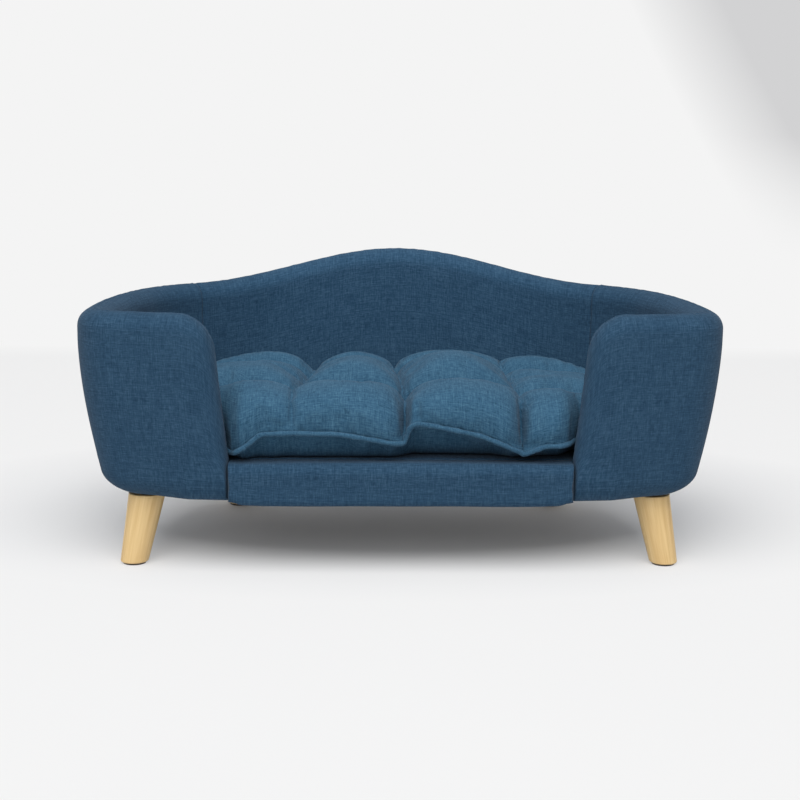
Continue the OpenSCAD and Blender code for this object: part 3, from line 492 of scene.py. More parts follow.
def plain_cloth(name, dark, light, rough=0.9):
    """Felted or non-woven cloth."""
    m = Nodes(name, rough, 0.2)
    fine, soft = m.even_noise(900, 3.0), m.even_noise(60)
    tone = m.maths("ADD", m.maths("MULTIPLY", fine, 0.7), m.maths("MULTIPLY", soft, 0.3))
    return m.finish(m.ramp(tone, (0.3, dark), (0.7, light)), fine, 0.3, 0.0004)


def timber(name, dark, light, scale, kind="Object", rough=0.5):
    """Straight-grained wood; scale holds the grain's pitch along and across it."""
    m = Nodes(name, rough, 0.4)
    grain = m.noise(m.coords(kind, scale), 4.0, 0.55, 0.25)
    broad = m.noise(m.coords(kind, tuple(s * 0.22 for s in scale), (3, 5, 7)))
    fleck = m.noise(m.coords(kind, tuple(s * 3.1 for s in scale), (9, 1, 4)), 1.0)
    tone = m.maths("ADD", m.maths("MULTIPLY", grain, 0.6), m.maths("MULTIPLY", broad, 0.4))
    tone = m.maths("SUBTRACT", tone, m.maths("MULTIPLY", m.spread(fleck, 0.60, 0.74), 0.075))
    return m.finish(m.ramp(tone, (0.30, dark), (0.62, light)), grain, 0.12, 0.0004,
                    m.spread(grain, 0.3, 0.7, rough + 0.06, rough - 0.05))


def plywood(name):
    """Bent and flat panels: thin plies by height, with grain along X."""
    m = Nodes(name, 0.6, 0.3)
    grain = m.noise(m.coords("Object", (14, 320, 60)), 4.0, 0.55, 0.2)
    plies = m.bands(110.0, Distortion=0.6, Detail=1.0)
    tone = m.maths("ADD", m.maths("MULTIPLY", grain, 0.75), m.maths("MULTIPLY", plies, 0.25))
    return m.finish(m.ramp(tone, (0.3, (176, 138, 92)), (0.7, (214, 182, 136))), grain, 0.15, 0.0004)


def metal(name, colour, dark, rough):
    """Plated or bare steel with fine wear."""
    m = Nodes(name, rough, 0.5, Metallic=1.0)
    wear = m.even_noise(400, 3.0)
    return m.finish(m.ramp(wear, (0.3, dark), (0.65, colour)), wear, 0.1, 0.0002,
                    m.spread(wear, 0.3, 0.7, rough + 0.08, rough - 0.05))


def threaded(name):
    """Zinc-plated thread: fine turns by height."""
    m = Nodes(name, 0.35, 0.5, Metallic=1.0)
    turns = m.bands(255.0)
    return m.finish(m.ramp(turns, (0.1, (120, 120, 122)), (0.8, (205, 206, 208))), turns, 0.9, 0.0006)


def plastic(name, colour, light, rough):
    """Moulded plastic with a faint grain."""
    m = Nodes(name, rough, 0.5)
    grain = m.even_noise(700)
    return m.finish(m.ramp(grain, (0.3, colour), (0.75, light)), grain, 0.15, 0.0003)


cover_linen = linen("cover_linen", (28, 52, 73), (41, 68, 91), (59, 87, 110))
# the back's inside gets painted light: its colour is lighter towards its middle
back_linen_painted_light = linen("back_linen_painted_light", (28, 52, 73), (41, 68, 91), (59, 87, 110), painted_light=0.22)
cushion_linen = linen("cushion_linen", (36, 66, 88), (52, 87, 112), (72, 109, 132))
piping_linen = linen("piping_linen", (36, 63, 86), (53, 87, 111), (73, 108, 131), 2.0)
deck_linen = linen("deck_linen", (30, 54, 77), (44, 72, 96), (62, 92, 116))
dust_felt = plain_cloth("dust_felt", (34, 35, 38), (58, 59, 63))
thread_cloth = plain_cloth("thread_cloth", (38, 62, 86), (72, 105, 132), 0.8)
tape_cloth = plain_cloth("tape_cloth", (26, 36, 52), (44, 58, 78))
pale_beech = timber("pale_beech", (203, 164, 104), (229, 199, 145), (230, 9, 1), "UV", 0.45)
frame_pine = timber("frame_pine", (184, 146, 94), (220, 190, 142), (12, 210, 210))
side_pine = timber("side_pine", (184, 146, 94), (220, 190, 142), (210, 12, 210))
ply = plywood("ply")
steel = metal("steel", (196, 197, 200), (150, 151, 155), 0.38)
bright_metal = metal("bright_metal", (186, 188, 192), (140, 142, 148), 0.28)
bolt_steel = threaded("bolt_steel")
glide_black = plastic("glide_black", (48, 40, 34), (74, 64, 56), 0.5)
zip_plastic = plastic("zip_plastic", (44, 56, 74), (70, 84, 104), 0.35)


def dress(node, mat):
    """Gives a carried-over part its finish."""
    slots = nodes[node].data.materials
    if len(slots):
        for i in range(len(slots)):
            slots[i] = mat
    else:
        slots.append(mat)


# Wall upholstery
seam_depth, seam_width = 0.0011, 0.0011
# Low swelling beside a seam: its height, its distance from the seam and its width
seam_lip, lip_d, lip_w = 0.00035, 0.0035, 0.0020
# Gathers beside a seam: their lengths, their height and how far from the seam they reach
pucker_sizes, pucker_h, pucker_reach = (0.011, 0.017, 0.029), 0.00016, 0.009
# The cloth lies flat this near its lower edge and, on the outside, this near the seat's level
flat_edge, flat_seat = 0.008, 0.003
# How far the cloth's face may sink, and how far it may rise on the wall and on the rail
sink_most, wall_rise_most, rail_rise_most = 0.0013, 0.0012, 0.0026
# Where the wall's even stations start, behind the wing's end
run_start = 0.004


def seam_profile(d):
    """Height of the cloth beside a sewn seam at distance d."""
    d = np.abs(d)
    return seam_lip * np.exp(-((d - lip_d) / lip_w) ** 2) - seam_depth * np.exp(-(d / seam_width) ** 2)


def puckers(along, away, seed):
    """Short gathers that die away from a seam."""
    rng = np.random.default_rng(seed)
    ripple = np.zeros_like(along)
    for size in pucker_sizes:
        start, drift = rng.uniform(0, 6), rng.uniform(0, 6)
        ripple += np.sin(2 * math.pi * along / size + start + 2.2 * np.sin(along * 31 + drift))
    return pucker_h * ripple * np.exp(-np.abs(away) / pucker_reach)


def upholster(stations, seed, nose):
    """One panel of the wall's cover, with seams at its crest and at its ends."""
    outer, along, girth = wall_grid(stations, 0)
    inner = wall_grid(stations, cloth_t)[0]
    left, z = along[-1, 0] - along, outer[..., 2]
    lift = seam_profile(girth) + puckers(along, girth, seed) + seam_profile(along)
    if nose:
        lift = lift + puckers(girth, along, seed + 1)
    lift = lift + seam_profile(left) + puckers(girth, left, seed + 2)
    lift = lift + waviness(along, girth, seed + 3, sizes=(0.13, 0.21, 0.34), amount=0.0006)
    lift = lift * smooth(z, under_h, under_h + flat_edge)
    lift = lift * smooth(np.abs(z - seat_z) + (girth > 0), 0.0, flat_seat)
    lift = np.clip(lift, -sink_most, wall_rise_most)
    return outer + normals_of(outer, inner) * lift[..., None], inner, np.stack([along, girth], 2)


def mirrored(grid):
    return grid * np.array([-1, 1, 1])


wall_stations = nose_stations() + run_stations(run_start, seam_run)
back_stations = run_stations(seam_run, 2 * runs[5] - seam_run)
outer, inner, flat = upholster(wall_stations, 11, True)
left_cover = shell_piece("wall_cover_left", outer, inner, flat, [cover_linen])
outer, inner, flat = upholster(wall_stations, 23, True)
right_cover = shell_piece("wall_cover_right", mirrored(outer), mirrored(inner), flat, [cover_linen], True)
outer, inner, flat = upholster(back_stations, 37, False)
back_cover = shell_piece("wall_cover_back", outer, inner, flat + np.array([0.9, 0]), [back_linen_painted_light])
for piece, side in ((left_cover, "left"), (right_cover, "right"), (back_cover, "back")):
    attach(piece, "sofa")
    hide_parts(f"outer_cover_{side}", f"inner_cover_{side}",
                f"outer_padding_{side}", f"inner_padding_{side}")


# Front rail's upholstery
rail_half_l = seat_gap / 2 - part_gap
rail_back, rail_round_r, rail_top_r, rail_lip_back, rail_turn_back = 0.005, 0.006, 0.011, 0.038, 0.021
rail_puff_h, rail_puff_run, rail_puff_d = 0.0016, 0.045, 0.012
rail_crest_h, rail_crest_d, rail_crest_w = 0.0014, 0.019, 0.009
rail_sag, rail_sag_h, rail_sag_d = 0.0032, 0.034, 0.020
# Distances from the rail's ends over which its sag and its crest grow, the crest in two steps of
# which the first takes this share
sag_run, crest_run, crest_run_2, crest_step = (0.002, 0.016), (0.0, 0.09), (0.05, 0.19), 0.6
# How far back the cloth is folded round the rail's ends, beside the wings, and its next columns
rail_end_turns = [0.015, 0.009, 0.003]
rail_end_gaps, rail_middle_gap, rail_columns = [0.0003, 0.0012, 0.003], 0.007, 90


def rail_section(t):
    """Section of the rail's cover in depth and height, from underneath up and over."""
    front, low, high = rail_back + t, under_h + t, seat_z - t
    r, top_r = rail_round_r - t, rail_top_r - t
    a = np.radians(np.linspace(270, 180, 9))
    b = np.radians(np.linspace(180, 90, 9))
    face = np.linspace(low + r, high - top_r, 12)[1:-1]
    under = np.linspace(rail_turn_back, front + r + 0.002, 5)
    lip = np.linspace(front + top_r + 0.001, rail_lip_back, 8)
    ys = np.concatenate([under, front + r + r * np.cos(a), np.full(len(face), front),
                         front + top_r + top_r * np.cos(b), lip])
    zs = np.concatenate([np.full(len(under), low), low + r + r * np.sin(a), face,
                         high - top_r + top_r * np.sin(b), np.full(len(lip), high)])
    return ys, zs


def rail_piece():
    """Padded cover of the front rail: puffed in front, sagging below, crested on top."""
    near_end = rail_half_l - np.array([0, 0, 0, *rail_end_gaps])
    middle = np.linspace(-rail_half_l + rail_middle_gap, rail_half_l - rail_middle_gap, rail_columns)
    xs = np.concatenate([-near_end, middle, near_end[::-1]])
    turned = np.zeros((len(xs), 1))
    turned[:3, 0] = rail_end_turns
    turned[-3:, 0] = rail_end_turns[::-1]

    def grid_at(t):
        ys, zs = rail_section(t)
        y = np.maximum(depth(ys), depth(rail_back + t) + turned)
        return np.stack(np.broadcast_arrays(xs[:, None], y, zs), 2)

    outer, inner = grid_at(0), grid_at(cloth_t)
    u, v = np.meshgrid(xs, lengths(np.stack(rail_section(0), 1), 0), indexing="ij")
    normal = normals_of(outer, inner)
    normal[:3] = normal[-3:] = 0
    end_d = rail_half_l - np.abs(u)
    front_share = np.clip(1 - (outer[..., 1] - depth(rail_back)) / rail_puff_d, 0, 1)
    lift = rail_puff_h * smooth(end_d, 0, rail_puff_run) * front_share + seam_profile(end_d) * front_share
    lift += waviness(u, v, 51, sizes=(0.09, 0.17, 0.31), amount=0.0007) * front_share
    lift += puckers(v, end_d, 52) * front_share
    outer = outer + normal * np.clip(lift, -sink_most, rail_rise_most)[..., None]
    back_of = outer[..., 1] - depth(0)
    sag = rail_sag * smooth(end_d, *sag_run) * smooth(under_h + rail_sag_h - outer[..., 2], 0, rail_sag_h)
    outer[..., 2] -= sag * smooth(rail_sag_d - back_of, 0, 0.012)
    crest = rail_crest_h * smooth(end_d, *crest_run)
    crest = crest * (crest_step + (1 - crest_step) * smooth(end_d, *crest_run_2))
    ridge = np.exp(-((back_of - rail_crest_d) / rail_crest_w) ** 4)
    outer[..., 2] += crest * smooth(outer[..., 2], seat_z - 0.020, seat_z) * ridge
    u = u + np.sign(u) * turned
    piece = shell_piece("rail_upholstery", outer, inner, np.stack([u + 0.4, v], 2), [cover_linen])
    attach(piece, "sofa")
    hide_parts("rail_cover", "rail_padding")


rail_piece()


# Flat cloths, between a front and a rear line over X
cloth_columns, cloth_rows = 120, 40
# How far behind the wings' ends their lines start
cloth_start = 0.0062
deck_front, deck_n, deck_drop = rail_lip_back + layer_gap, half_t + 0.003 + layer_gap, 0.027
dust_front = 0.016
# Faint ripples of the dust cloth between its staples
dust_ripple = 0.0002


def edge_lines(inward_of, front_d):
    """Front and rear edge of a flat cloth that follows the wall, as functions of X."""
    s = np.linspace(float(end_run(seat_z)) + cloth_start, runs[5], 700)
    x, y = plan(s, *inward_of(s))
    far = int(np.argmin(x))

    def front(xs):
        q = np.abs(xs)
        wing = np.interp(-q, x[:far + 1][::-1], y[:far + 1][::-1])
        return np.where(q < rail_half_l, depth(front_d), wing)

    def rear(xs):
        return np.interp(-np.abs(xs), x[far:], y[far:])

    return -x[far], front, rear


def flat_cloth(name, lines, low, high, ripple, mat):
    """Thin cloth with a real thickness along the two edge lines, with its size and area."""
    half_w, front, rear = lines
    angle = np.linspace(-math.pi / 2, math.pi / 2, cloth_columns)
    step = rail_half_l + np.array([0, 0.0005])
    xs = np.unique(np.concatenate([half_w * np.sin(angle) * 0.99995, step, -step]))
    a, b = front(xs), rear(xs)
    y = a[:, None] + (b - a)[:, None] * np.linspace(0, 1, cloth_rows)
    x = np.repeat(xs[:, None], cloth_rows, 1)
    z = ripple * (np.sin(x * 140) * np.sin(y * 90) - 1)
    top, bottom = (np.stack([x, y, level + z], 2) for level in (high, low))
    piece = shell_piece(name, top, bottom, np.stack([x, y], 2), [mat])
    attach(piece, "sofa")
    area = float(((b - a)[1:] + (b - a)[:-1]) @ np.diff(xs) / 2)
    return piece, 2 * half_w, float(b.max() - a.min()), area


def deck_inward(s):
    return leaned_at(s, seat_z - deck_drop), deck_n


def dust_inward(s):
    leaned, n = face_in(s, under_h, 0)
    return leaned, n + margin_w / 2


deck_cloth, deck_w, deck_l, deck_area = flat_cloth(
    "deck_cover", edge_lines(deck_inward, deck_front), deck_z, seat_z, 0, deck_linen)
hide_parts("deck_cloth")
dust_cloth, dust_w, dust_l, dust_area = flat_cloth(
    "dust_cloth", edge_lines(dust_inward, dust_front), dust_low, dust_high, dust_ripple, dust_felt)
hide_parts("dust_cover")


# Legs: a tapered turning, tilted, cut level, with eased edges
leg_round, leg_rings, leg_sides = 0.0016, 26, 64
top_r, foot_r, bore_r, nail_r = 0.020, 0.015, 0.0041, 0.0011
top_ring_in, foot_ring_in = 0.008, 0.007
# Each leg's grain comes from another place in the wood
grain_shift = np.array([0.37, 0.23])


def middle_of(node):
    """Middle of a part of the frame, seen from above."""
    low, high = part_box(node)
    return np.array([(low.x + high.x) / 2, (low.y + high.y) / 2])


def leg_piece(name, number):
    """Lofted from the bore for its bolt, over the top and down to the glide's nail."""
    low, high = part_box("leg_" + name)
    top, foot = middle_of("bolt_" + name), middle_of("glide_" + name)
    splay = foot - top
    tilt = math.atan(np.linalg.norm(splay) / (high.z - low.z))
    way = splay / np.linalg.norm(splay)
    side = np.array([-way[1], way[0]])
    a = np.linspace(0, 2 * math.pi, leg_sides, endpoint=False)
    rings = []

    def ring(centre, long, short, z):
        """Level loop, longer the way the leg splays."""
        xy = centre + np.outer(np.cos(a) * long, way) + np.outer(np.sin(a) * short, side)
        rings.append(np.concatenate([xy, np.full((leg_sides, 1), z)], 1))

    def cut(z, inset=0.0):
        """Level cut through the tilted taper."""
        f = (z - low.z) / (high.z - low.z)
        r = foot_r + (top_r - foot_r) * f
        ring(foot + (top - foot) * f, r / math.cos(tilt) - inset, r - inset, z)

    for z in np.linspace(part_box("bolt_" + name)[0].z - part_gap, high.z, 4):
        ring(top, bore_r, bore_r, z)
    cut(high.z, top_ring_in)
    for q in np.radians(np.linspace(90, 0, 6)):
        cut(high.z - leg_round * 0.5 * (1 - math.sin(q)), leg_round * 0.5 * (1 - math.cos(q)))
    for z in np.linspace(high.z, low.z, leg_rings)[1:-1]:
        cut(z)
    for q in np.radians(np.linspace(0, 90, 8)):
        cut(low.z + leg_round * (1 - math.sin(q)), leg_round * (1 - math.cos(q)))
    cut(low.z, foot_ring_in)
    for z in np.linspace(low.z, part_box("glide_" + name)[1].z + part_gap, 3):
        ring(foot, nail_r, nail_r, z)
    grid = np.array(rings)
    count = len(rings)
    faces = grid_faces(count, leg_sides, loop_cols=True).tolist()
    points = grid.reshape(-1, 3).tolist()
    for edge, first in ((0, True), (count - 1, False)):
        points.append(grid[edge].mean(0).tolist())
        middle = len(points) - 1
        for k in range(leg_sides):
            pair = (edge * leg_sides + k, edge * leg_sides + (k + 1) % leg_sides)
            faces.append([middle, *(pair if first else pair[::-1])])
    uv = np.stack(np.broadcast_arrays(a * top_r, lengths(grid[:, 0], 0)[:, None]), 2).reshape(-1, 2)
    uv = np.concatenate([uv, np.zeros((2, 2))]) + grain_shift * number
    piece = make_piece("leg_wood_" + name, points, faces, uv, [pale_beech])
    outward_first(piece)
    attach(piece, "leg_" + name)
    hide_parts("leg_" + name)


for number, name in enumerate(LEGS):
    leg_piece(name, number)
    dress("glide_" + name, glide_black)
    dress("bolt_" + name, bolt_steel)


# Cushion
seam_z = seat_z + 0.022
cushion_low_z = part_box("cushion_bottom_cover")[0].z
cushion_half_w = 0.2924
cushion_front, cushion_back = depth(0.019), depth(0.296)
cushion_gap = 0.0062
zip_half_w = 0.146
piping_r, piping_out = 0.0029, 0.75
# Rise of a full puff, which the front face's shape is measured against
full_rise = 0.062
row_ys = [depth(d) for d in (0.060, 0.160, 0.258)]
# Tufts, each with its place along X and its depth behind the wings' front
tufts_front = [(-0.116, 0.103), (0.004, 0.101), (0.131, 0.104)]
tufts_rear = [(-0.102, 0.219), (-0.003, 0.221), (0.125, 0.218)]
tufts = [(x, depth(d)) for x, d in tufts_front + tufts_rear]
# Columns of tufts at the cushion's front: their places, how much the front folds in there and
# how much closer together the cloth's own columns are
column_xs, column_folds, column_crowds = (-0.118, 0.004, 0.131), (0.10, 1.0, 0.85), (1.0, 2.6, 2.0)

# Puffs in three rows of four: their middles, and how far each rises above the seam
puff_xs = [-0.170, -0.057, 0.066, 0.170]
puff_rises = [[0.062, 0.061, 0.063, 0.055], [0.061, 0.067, 0.075, 0.050], [0.066, 0.065, 0.067, 0.062]]
# Depth of the creases between the columns of puffs, at the three rows
crease_depths = [[0.014, 0.033, 0.031], [0.032, 0.030, 0.024], [0.018, 0.022, 0.014]]
# Half width of the creases and of the furrows between the rows, and how round the puffs' sides are
crease_w, crease_power, furrow_w, furrow_power = 0.058, 0.52, 0.048, 0.58
furrow_depth, tuft_pit, tuft_pit_r = 0.027, 0.012, 0.011

# Wave of the front seam: places along X with its height above the seam's level
wave_xs = [-0.300, -0.195, -0.180, -0.166, -0.150, -0.110, -0.066, -0.024, -0.004, 0.003, 0.0065, 0.0095,
           0.014, 0.020, 0.052, 0.085, 0.112, 0.127, 0.134, 0.144, 0.156, 0.172, 0.188, 0.205, 0.300]
wave_rises = [0.000, -0.010, -0.014, -0.003, 0.010, 0.011, 0.010, 0.003, -0.001, -0.001, 0.004, 0.015,
              0.021, 0.022, 0.016, 0.009, -0.002, -0.010, -0.013, -0.007, -0.002, -0.002, 0.000, 0.001, 0.000]
# Distances behind the front edge at which the wave starts to fade and is gone
wave_near, wave_far = 0.012, 0.060
# Soft folds down the front face: place, half width and depth
front_folds = [(-0.177, 0.0045, 0.0045), (-0.166, 0.0060, 0.0030), (-0.148, 0.0080, 0.0018),
               (-0.060, 0.0140, 0.0010), (0.016, 0.0045, 0.0030), (0.120, 0.0050, 0.0022),
               (0.144, 0.0050, 0.0026), (0.172, 0.0045, 0.0034), (0.182, 0.0040, 0.0040)]


# How far the underside has come down, by distance in from its rear edge and from its front edge,
# and how much each place along X is tucked under, which stretches its front distances
rear_steps, rear_shares = [0, 0.0098, 0.020, 0.034, 0.05], [0, 0.751, 0.93, 0.99, 1.0]
front_steps, front_shares = [0, 0.005, 0.010, 0.015, 0.020, 0.026], [0, 0.12, 0.36, 0.66, 0.90, 1.0]
tuck_xs = [-0.19, -0.13, 0.004, 0.014, 0.10, 0.125, 0.145, 0.18]
tucks = [0.8, 1.1, 1.2, 1.9, 1.8, 1.1, 1.5, 1.7]
# How far the front face bulges out, and how far and how sharply it folds in at the columns
bulge_out, fold_in, fold_w, edge_fold_in, edge_fold_w = 0.0095, 0.024, 0.0046, 0.009, 0.0075
# Share of the cushion's depth that its front face takes
face_share = 0.17
# Shares of a full puff's rise at which the soft folds start to fade and are gone, and how far
# they lean outwards on the way up
fold_fade, fold_end, fold_drift = 0.35, 0.95, 0.006
# Slack underside: ripples along its front, this high and this far back, and a dent at each tuft
ripple_h, ripple_d, dent_h, dent_r = 0.0030, 0.030, 0.0026, 0.009
# The front edge goes over to the wall's line from this far inside the wings, over this length
edge_turn, edge_run = 0.016, 0.030


def tuft_x(column, y):
    """X of a column of tufts at depth y, straight on past the two rows."""
    (xf, df), (xr, dr) = tufts_front[column], tufts_rear[column]
    f = np.clip((y - depth(df)) / (dr - df), -0.15, 1.15)
    return xf + (xr - xf) * f


def row_y(places, x):
    """Y of a row of tufts at place x, bowed a little between the tufts."""
    return np.interp(x, [p[0] for p in places], [depth(p[1]) for p in places])


def tuft_distance(x, y):
    """Distance to the nearest tuft, seen from above."""
    return np.min([np.hypot(x - px, y - py) for px, py in tufts], 0)


# Edge of the cushion along the wall, as the frame's cushion has it
line_s = np.linspace(0, runs[5], 900)
line_x, line_y = plan(line_s, leaned_at(line_s, seam_z), wall_t + cushion_gap)
wing_part, rear_part = line_s <= runs[1], line_s >= runs[2]


def front_edge(x):
    q = np.abs(x)
    far = np.interp(-q, line_x[wing_part][::-1], line_y[wing_part][::-1])
    f = smooth((q - seat_gap / 2 + edge_turn) / edge_run)
    return cushion_front + (far - cushion_front) * f


def rear_edge(x):
    wall = np.interp(-np.maximum(np.abs(x), zip_half_w), line_x[rear_part], line_y[rear_part])
    return np.minimum(wall, cushion_back)


def fold_share(x, width):
    """How much the front face folds in at the columns of tufts, most at the middle one."""
    total = 0 * x
    for place, weight in zip(column_xs, column_folds):
        total = total + weight * np.exp(-np.abs((x - place) / width) ** 1.3)
    return total


def seam_height(x, y):
    """Height of the seam: it waves at the front and lies level along the wall."""
    wave = np.interp(x, wave_xs, wave_rises)
    front = 1 - smooth(y, cushion_front + wave_near, cushion_front + wave_far)
    return seam_z + wave * front


def cushion_columns(count=190):
    """Columns of the cloth, closer together at the creases and at the ends."""
    x = np.linspace(-1, 1, 4001) * cushion_half_w * 0.9996
    crowd = 1 + 0.5 / np.sqrt(1.0006 - (x / cushion_half_w) ** 2)
    for place, weight in zip(column_xs, column_crowds):
        crowd += weight * np.exp(-(((x - place) / 0.011) ** 2))
    way = np.cumsum(crowd)
    return np.interp(np.linspace(way[0], way[-1], count), way, x)


def cushion_rows(count=88):
    """Rows of the cloth from 0 to 1, closer together at the front and at the back."""
    t = np.linspace(0, 1, count)
    return 0.5 - 0.5 * np.cos(math.pi * t) * (0.72 + 0.28 * np.abs(np.cos(math.pi * t)))


def crease(v, half, power):
    """Height of a puff at distance v from the crease beside it, 0 in the crease to 1."""
    return np.sin(np.clip(np.abs(v) / half, 0, 1) * math.pi / 2) ** power


def puff_columns(x, y):
    """Share of the full height left by the creases between the columns, and their depth."""
    share, deep = np.ones_like(x), np.zeros_like(x)
    for c in range(3):
        own = crease(x - tuft_x(c, y), crease_w, crease_power)
        deep = np.maximum(deep, np.interp(y, row_ys, crease_depths[c]) * (1 - own))
        share = np.minimum(share, own)
    return share, deep


def cushion_top(x, y, a, b):
    """Rise of the cushion's top above its seam, between its front and rear edges a and b."""
    u = np.abs(x / cushion_half_w)
    w = np.abs(2 * (y - a) / np.maximum(b - a, 1e-4) - 1)
    dome = np.sqrt(np.clip(1 - u**5, 0, 1)) * np.sqrt(np.clip(1 - w**6.5, 0, 1))
    full = np.zeros_like(x)
    for row, rises in zip(np.eye(3), puff_rises):
        full += np.interp(y, row_ys, row) * np.interp(x, puff_xs, rises)
    _, deep = puff_columns(x, y)
    beside = np.minimum(*(crease(y - row_y(row, x), furrow_w, furrow_power)
                          for row in (tufts_front, tufts_rear)))
    furrow = furrow_depth * (1 - beside)
    pit = np.exp(-((tuft_distance(x, y) / tuft_pit_r) ** 1.2))
    valley = np.sqrt(deep**2 + furrow**2)
    return dome * (full - valley - tuft_pit * pit)


def cushion_bottom(x, y, a, b):
    """Drop of the underside below the seam: drawn in at the front, a straight slope behind."""
    side = (cushion_half_w - np.abs(x)) * 1.3
    rear = np.interp(np.minimum(b - y, side), rear_steps, rear_shares)
    front = np.interp((y - a) / np.interp(x, tuck_xs, tucks), front_steps, front_shares)
    return np.minimum(rear, front)


def cushion_mesh():
    """Grids of the cushion's top and underside."""
    xs, shares = cushion_columns(), cushion_rows()
    x = np.repeat(xs[:, None], len(shares), 1)
    a = (front_edge(xs) + edge_fold_in * fold_share(xs, edge_fold_w))[:, None]
    b = rear_edge(xs)[:, None]
    y = a + (b - a) * shares
    seam = seam_height(x, y)
    top = seam + cushion_top(x, y, a, b) * (seam_z + full_rise - seam) / full_rise
    low = cushion_low_z + part_gap
    ripple = ripple_h * np.sin(x * 150 + 1.6 * np.sin(x * 47 + 0.6)) * smooth(a + ripple_d - y, 0, 0.02)
    bottom = seam - cushion_bottom(x, y, a, b) * (seam - low)
    bottom = np.maximum(bottom + ripple * smooth(y - a, 0, 0.008), low)
    bottom += dent_h * np.exp(-((tuft_distance(x, y) / dent_r) ** 2))
    bottom = np.minimum(bottom, top)
    # the front face bulges out between its creases and folds in at them
    w = (y - a) / np.maximum(b - a, 1e-4)
    height = np.clip((top - seam) / full_rise, 0, 1)
    front = 1 - smooth(w, 0.0, face_share)
    between, _ = puff_columns(x, y)
    bulge = bulge_out * np.sin(math.pi * np.clip(height * 0.92, 0, 1)) * between
    folds = fold_in * fold_share(x, fold_w) * np.sin(math.pi * np.clip(height * 0.8, 0, 1)) ** 0.6
    for place, width, deep in front_folds:
        drift = place + fold_drift * height * np.sign(place)
        folds = folds + deep * np.exp(-((x - drift) / width) ** 2) * (1 - smooth(height, fold_fade, fold_end))
    wide = (b - a) > 0.05
    top_y = y - (bulge - folds * smooth(height, 0, 0.12)) * front * wide
    return np.stack([x, top_y, top], 2), np.stack([x, y, bottom], 2)


top_grid, bottom_grid = cushion_mesh()


def flat_of(grid, reach=24):
    """Flat coordinates of a cloth grid: straight across, and by its mean length from the front."""
    v = lengths(grid, 1)
    padded = np.concatenate([np.repeat(v[:1], reach, 0), v, np.repeat(v[-1:], reach, 0)])
    total = np.cumsum(np.concatenate([np.zeros((1, v.shape[1])), padded]), 0)
    mean = (total[2 * reach + 1:] - total[:-2 * reach - 1]) / (2 * reach + 1)
    return np.stack([grid[..., 0] * 1.1, mean], 2).reshape(-1, 2)


# How firmly the creases and furrows are held while the cover swells, and how widely, also at the
# tufts; a crease this deep counts as wholly deep
crease_hold, furrow_hold = 0.8, 0.75
crease_hold_w, furrow_hold_w, tuft_hold_w = 0.006, 0.008, 0.006
deep_crease = 0.030


def held_share(x, y, rim):
    """How firmly each point of the top is held: the seam and the tufts wholly, a crease in part."""
    held = np.where(rim, 1.0, 0.0)
    for c in range(3):
        deep = np.interp(y, row_ys, crease_depths[c]) / deep_crease
        held = np.maximum(held, crease_hold * deep * np.exp(-(((x - tuft_x(c, y)) / crease_hold_w) ** 2)))
    for row in (tufts_front, tufts_rear):
        held = np.maximum(held, furrow_hold * np.exp(-(((y - row_y(row, x)) / furrow_hold_w) ** 2)))
    return np.maximum(held, np.exp(-((tuft_distance(x, y) / tuft_hold_w) ** 4)))


def swell_cover(piece, held, cap=0.0045, grades=20, frames=20):
    """Blows the stuffed cover up a little by cloth simulation and bakes the result in.
    No point moves further than cap."""
    scene, mesh = bpy.context.scene, piece.data
    rest = points_of(mesh)
    group = piece.vertex_groups.new(name="held")
    levels = np.round(held * grades).astype(int)
    for level in range(1, grades + 1):
        group.add(np.flatnonzero(levels == level).tolist(), level / grades, "REPLACE")
    cloth = piece.modifiers.new("Cloth", "CLOTH")
    cloth.collision_settings.use_collision = False
    settings = cloth.settings
    settings.quality, settings.mass = 6, 0.25
    settings.tension_stiffness = settings.compression_stiffness = 14
    settings.shear_stiffness, settings.bending_stiffness = 4, 0.08
    settings.shrink_min = -0.045
    settings.use_pressure, settings.uniform_pressure_force = True, 4.0
    settings.vertex_group_mass = "held"
    settings.effector_weights.gravity = 0
    cloth.point_cache.frame_start, cloth.point_cache.frame_end = 1, frames
    for frame_number in range(1, frames + 1):
        scene.frame_set(frame_number)
    move = points_of(piece.evaluated_get(bpy.context.evaluated_depsgraph_get()).data) - rest
    piece.modifiers.remove(cloth)
    scene.frame_set(1)
    piece.vertex_groups.remove(group)
    size = np.linalg.norm(move, axis=1, keepdims=True)
    move *= np.tanh(size / cap) * cap / np.maximum(size, 1e-9)
    mesh.vertices.foreach_set("co", (rest + move).ravel())
    mesh.update()


def cushion_piece():
    """Stuffed cushion: top and underside joined along the seam."""
    rows, cols = top_grid.shape[:2]
    rim = np.zeros((rows, cols), bool)
    rim[0, :] = rim[-1, :] = rim[:, 0] = rim[:, -1] = True
    seam = (top_grid + bottom_grid) / 2
    top = np.where(rim[..., None], seam, top_grid)
    index_top = np.arange(rows * cols).reshape(rows, cols)
    index_low = np.where(rim, index_top, index_top + rows * cols).ravel()
    faces = np.concatenate([grid_faces(rows, cols, flip=True), index_low[grid_faces(rows, cols)]])
    points = np.concatenate([top.reshape(-1, 3), bottom_grid.reshape(-1, 3)])
    keep, faces = np.unique(faces, return_inverse=True)
    flat = flat_of(top)
    uv = np.concatenate([flat, flat + np.array([0.7, 0.5])])[keep]
    piece = make_piece("cushion_cover", points[keep], faces.reshape(-1, 4), uv, [cushion_linen])
    outward_first(piece)
    x, y, _ = np.moveaxis(top_grid, 2, 0)
    held = np.concatenate([held_share(x, y, rim).ravel(), np.ones(rows * cols)])
    swell_cover(piece, held[keep])
    return piece, seam


cushion, seam_grid = cushion_piece()


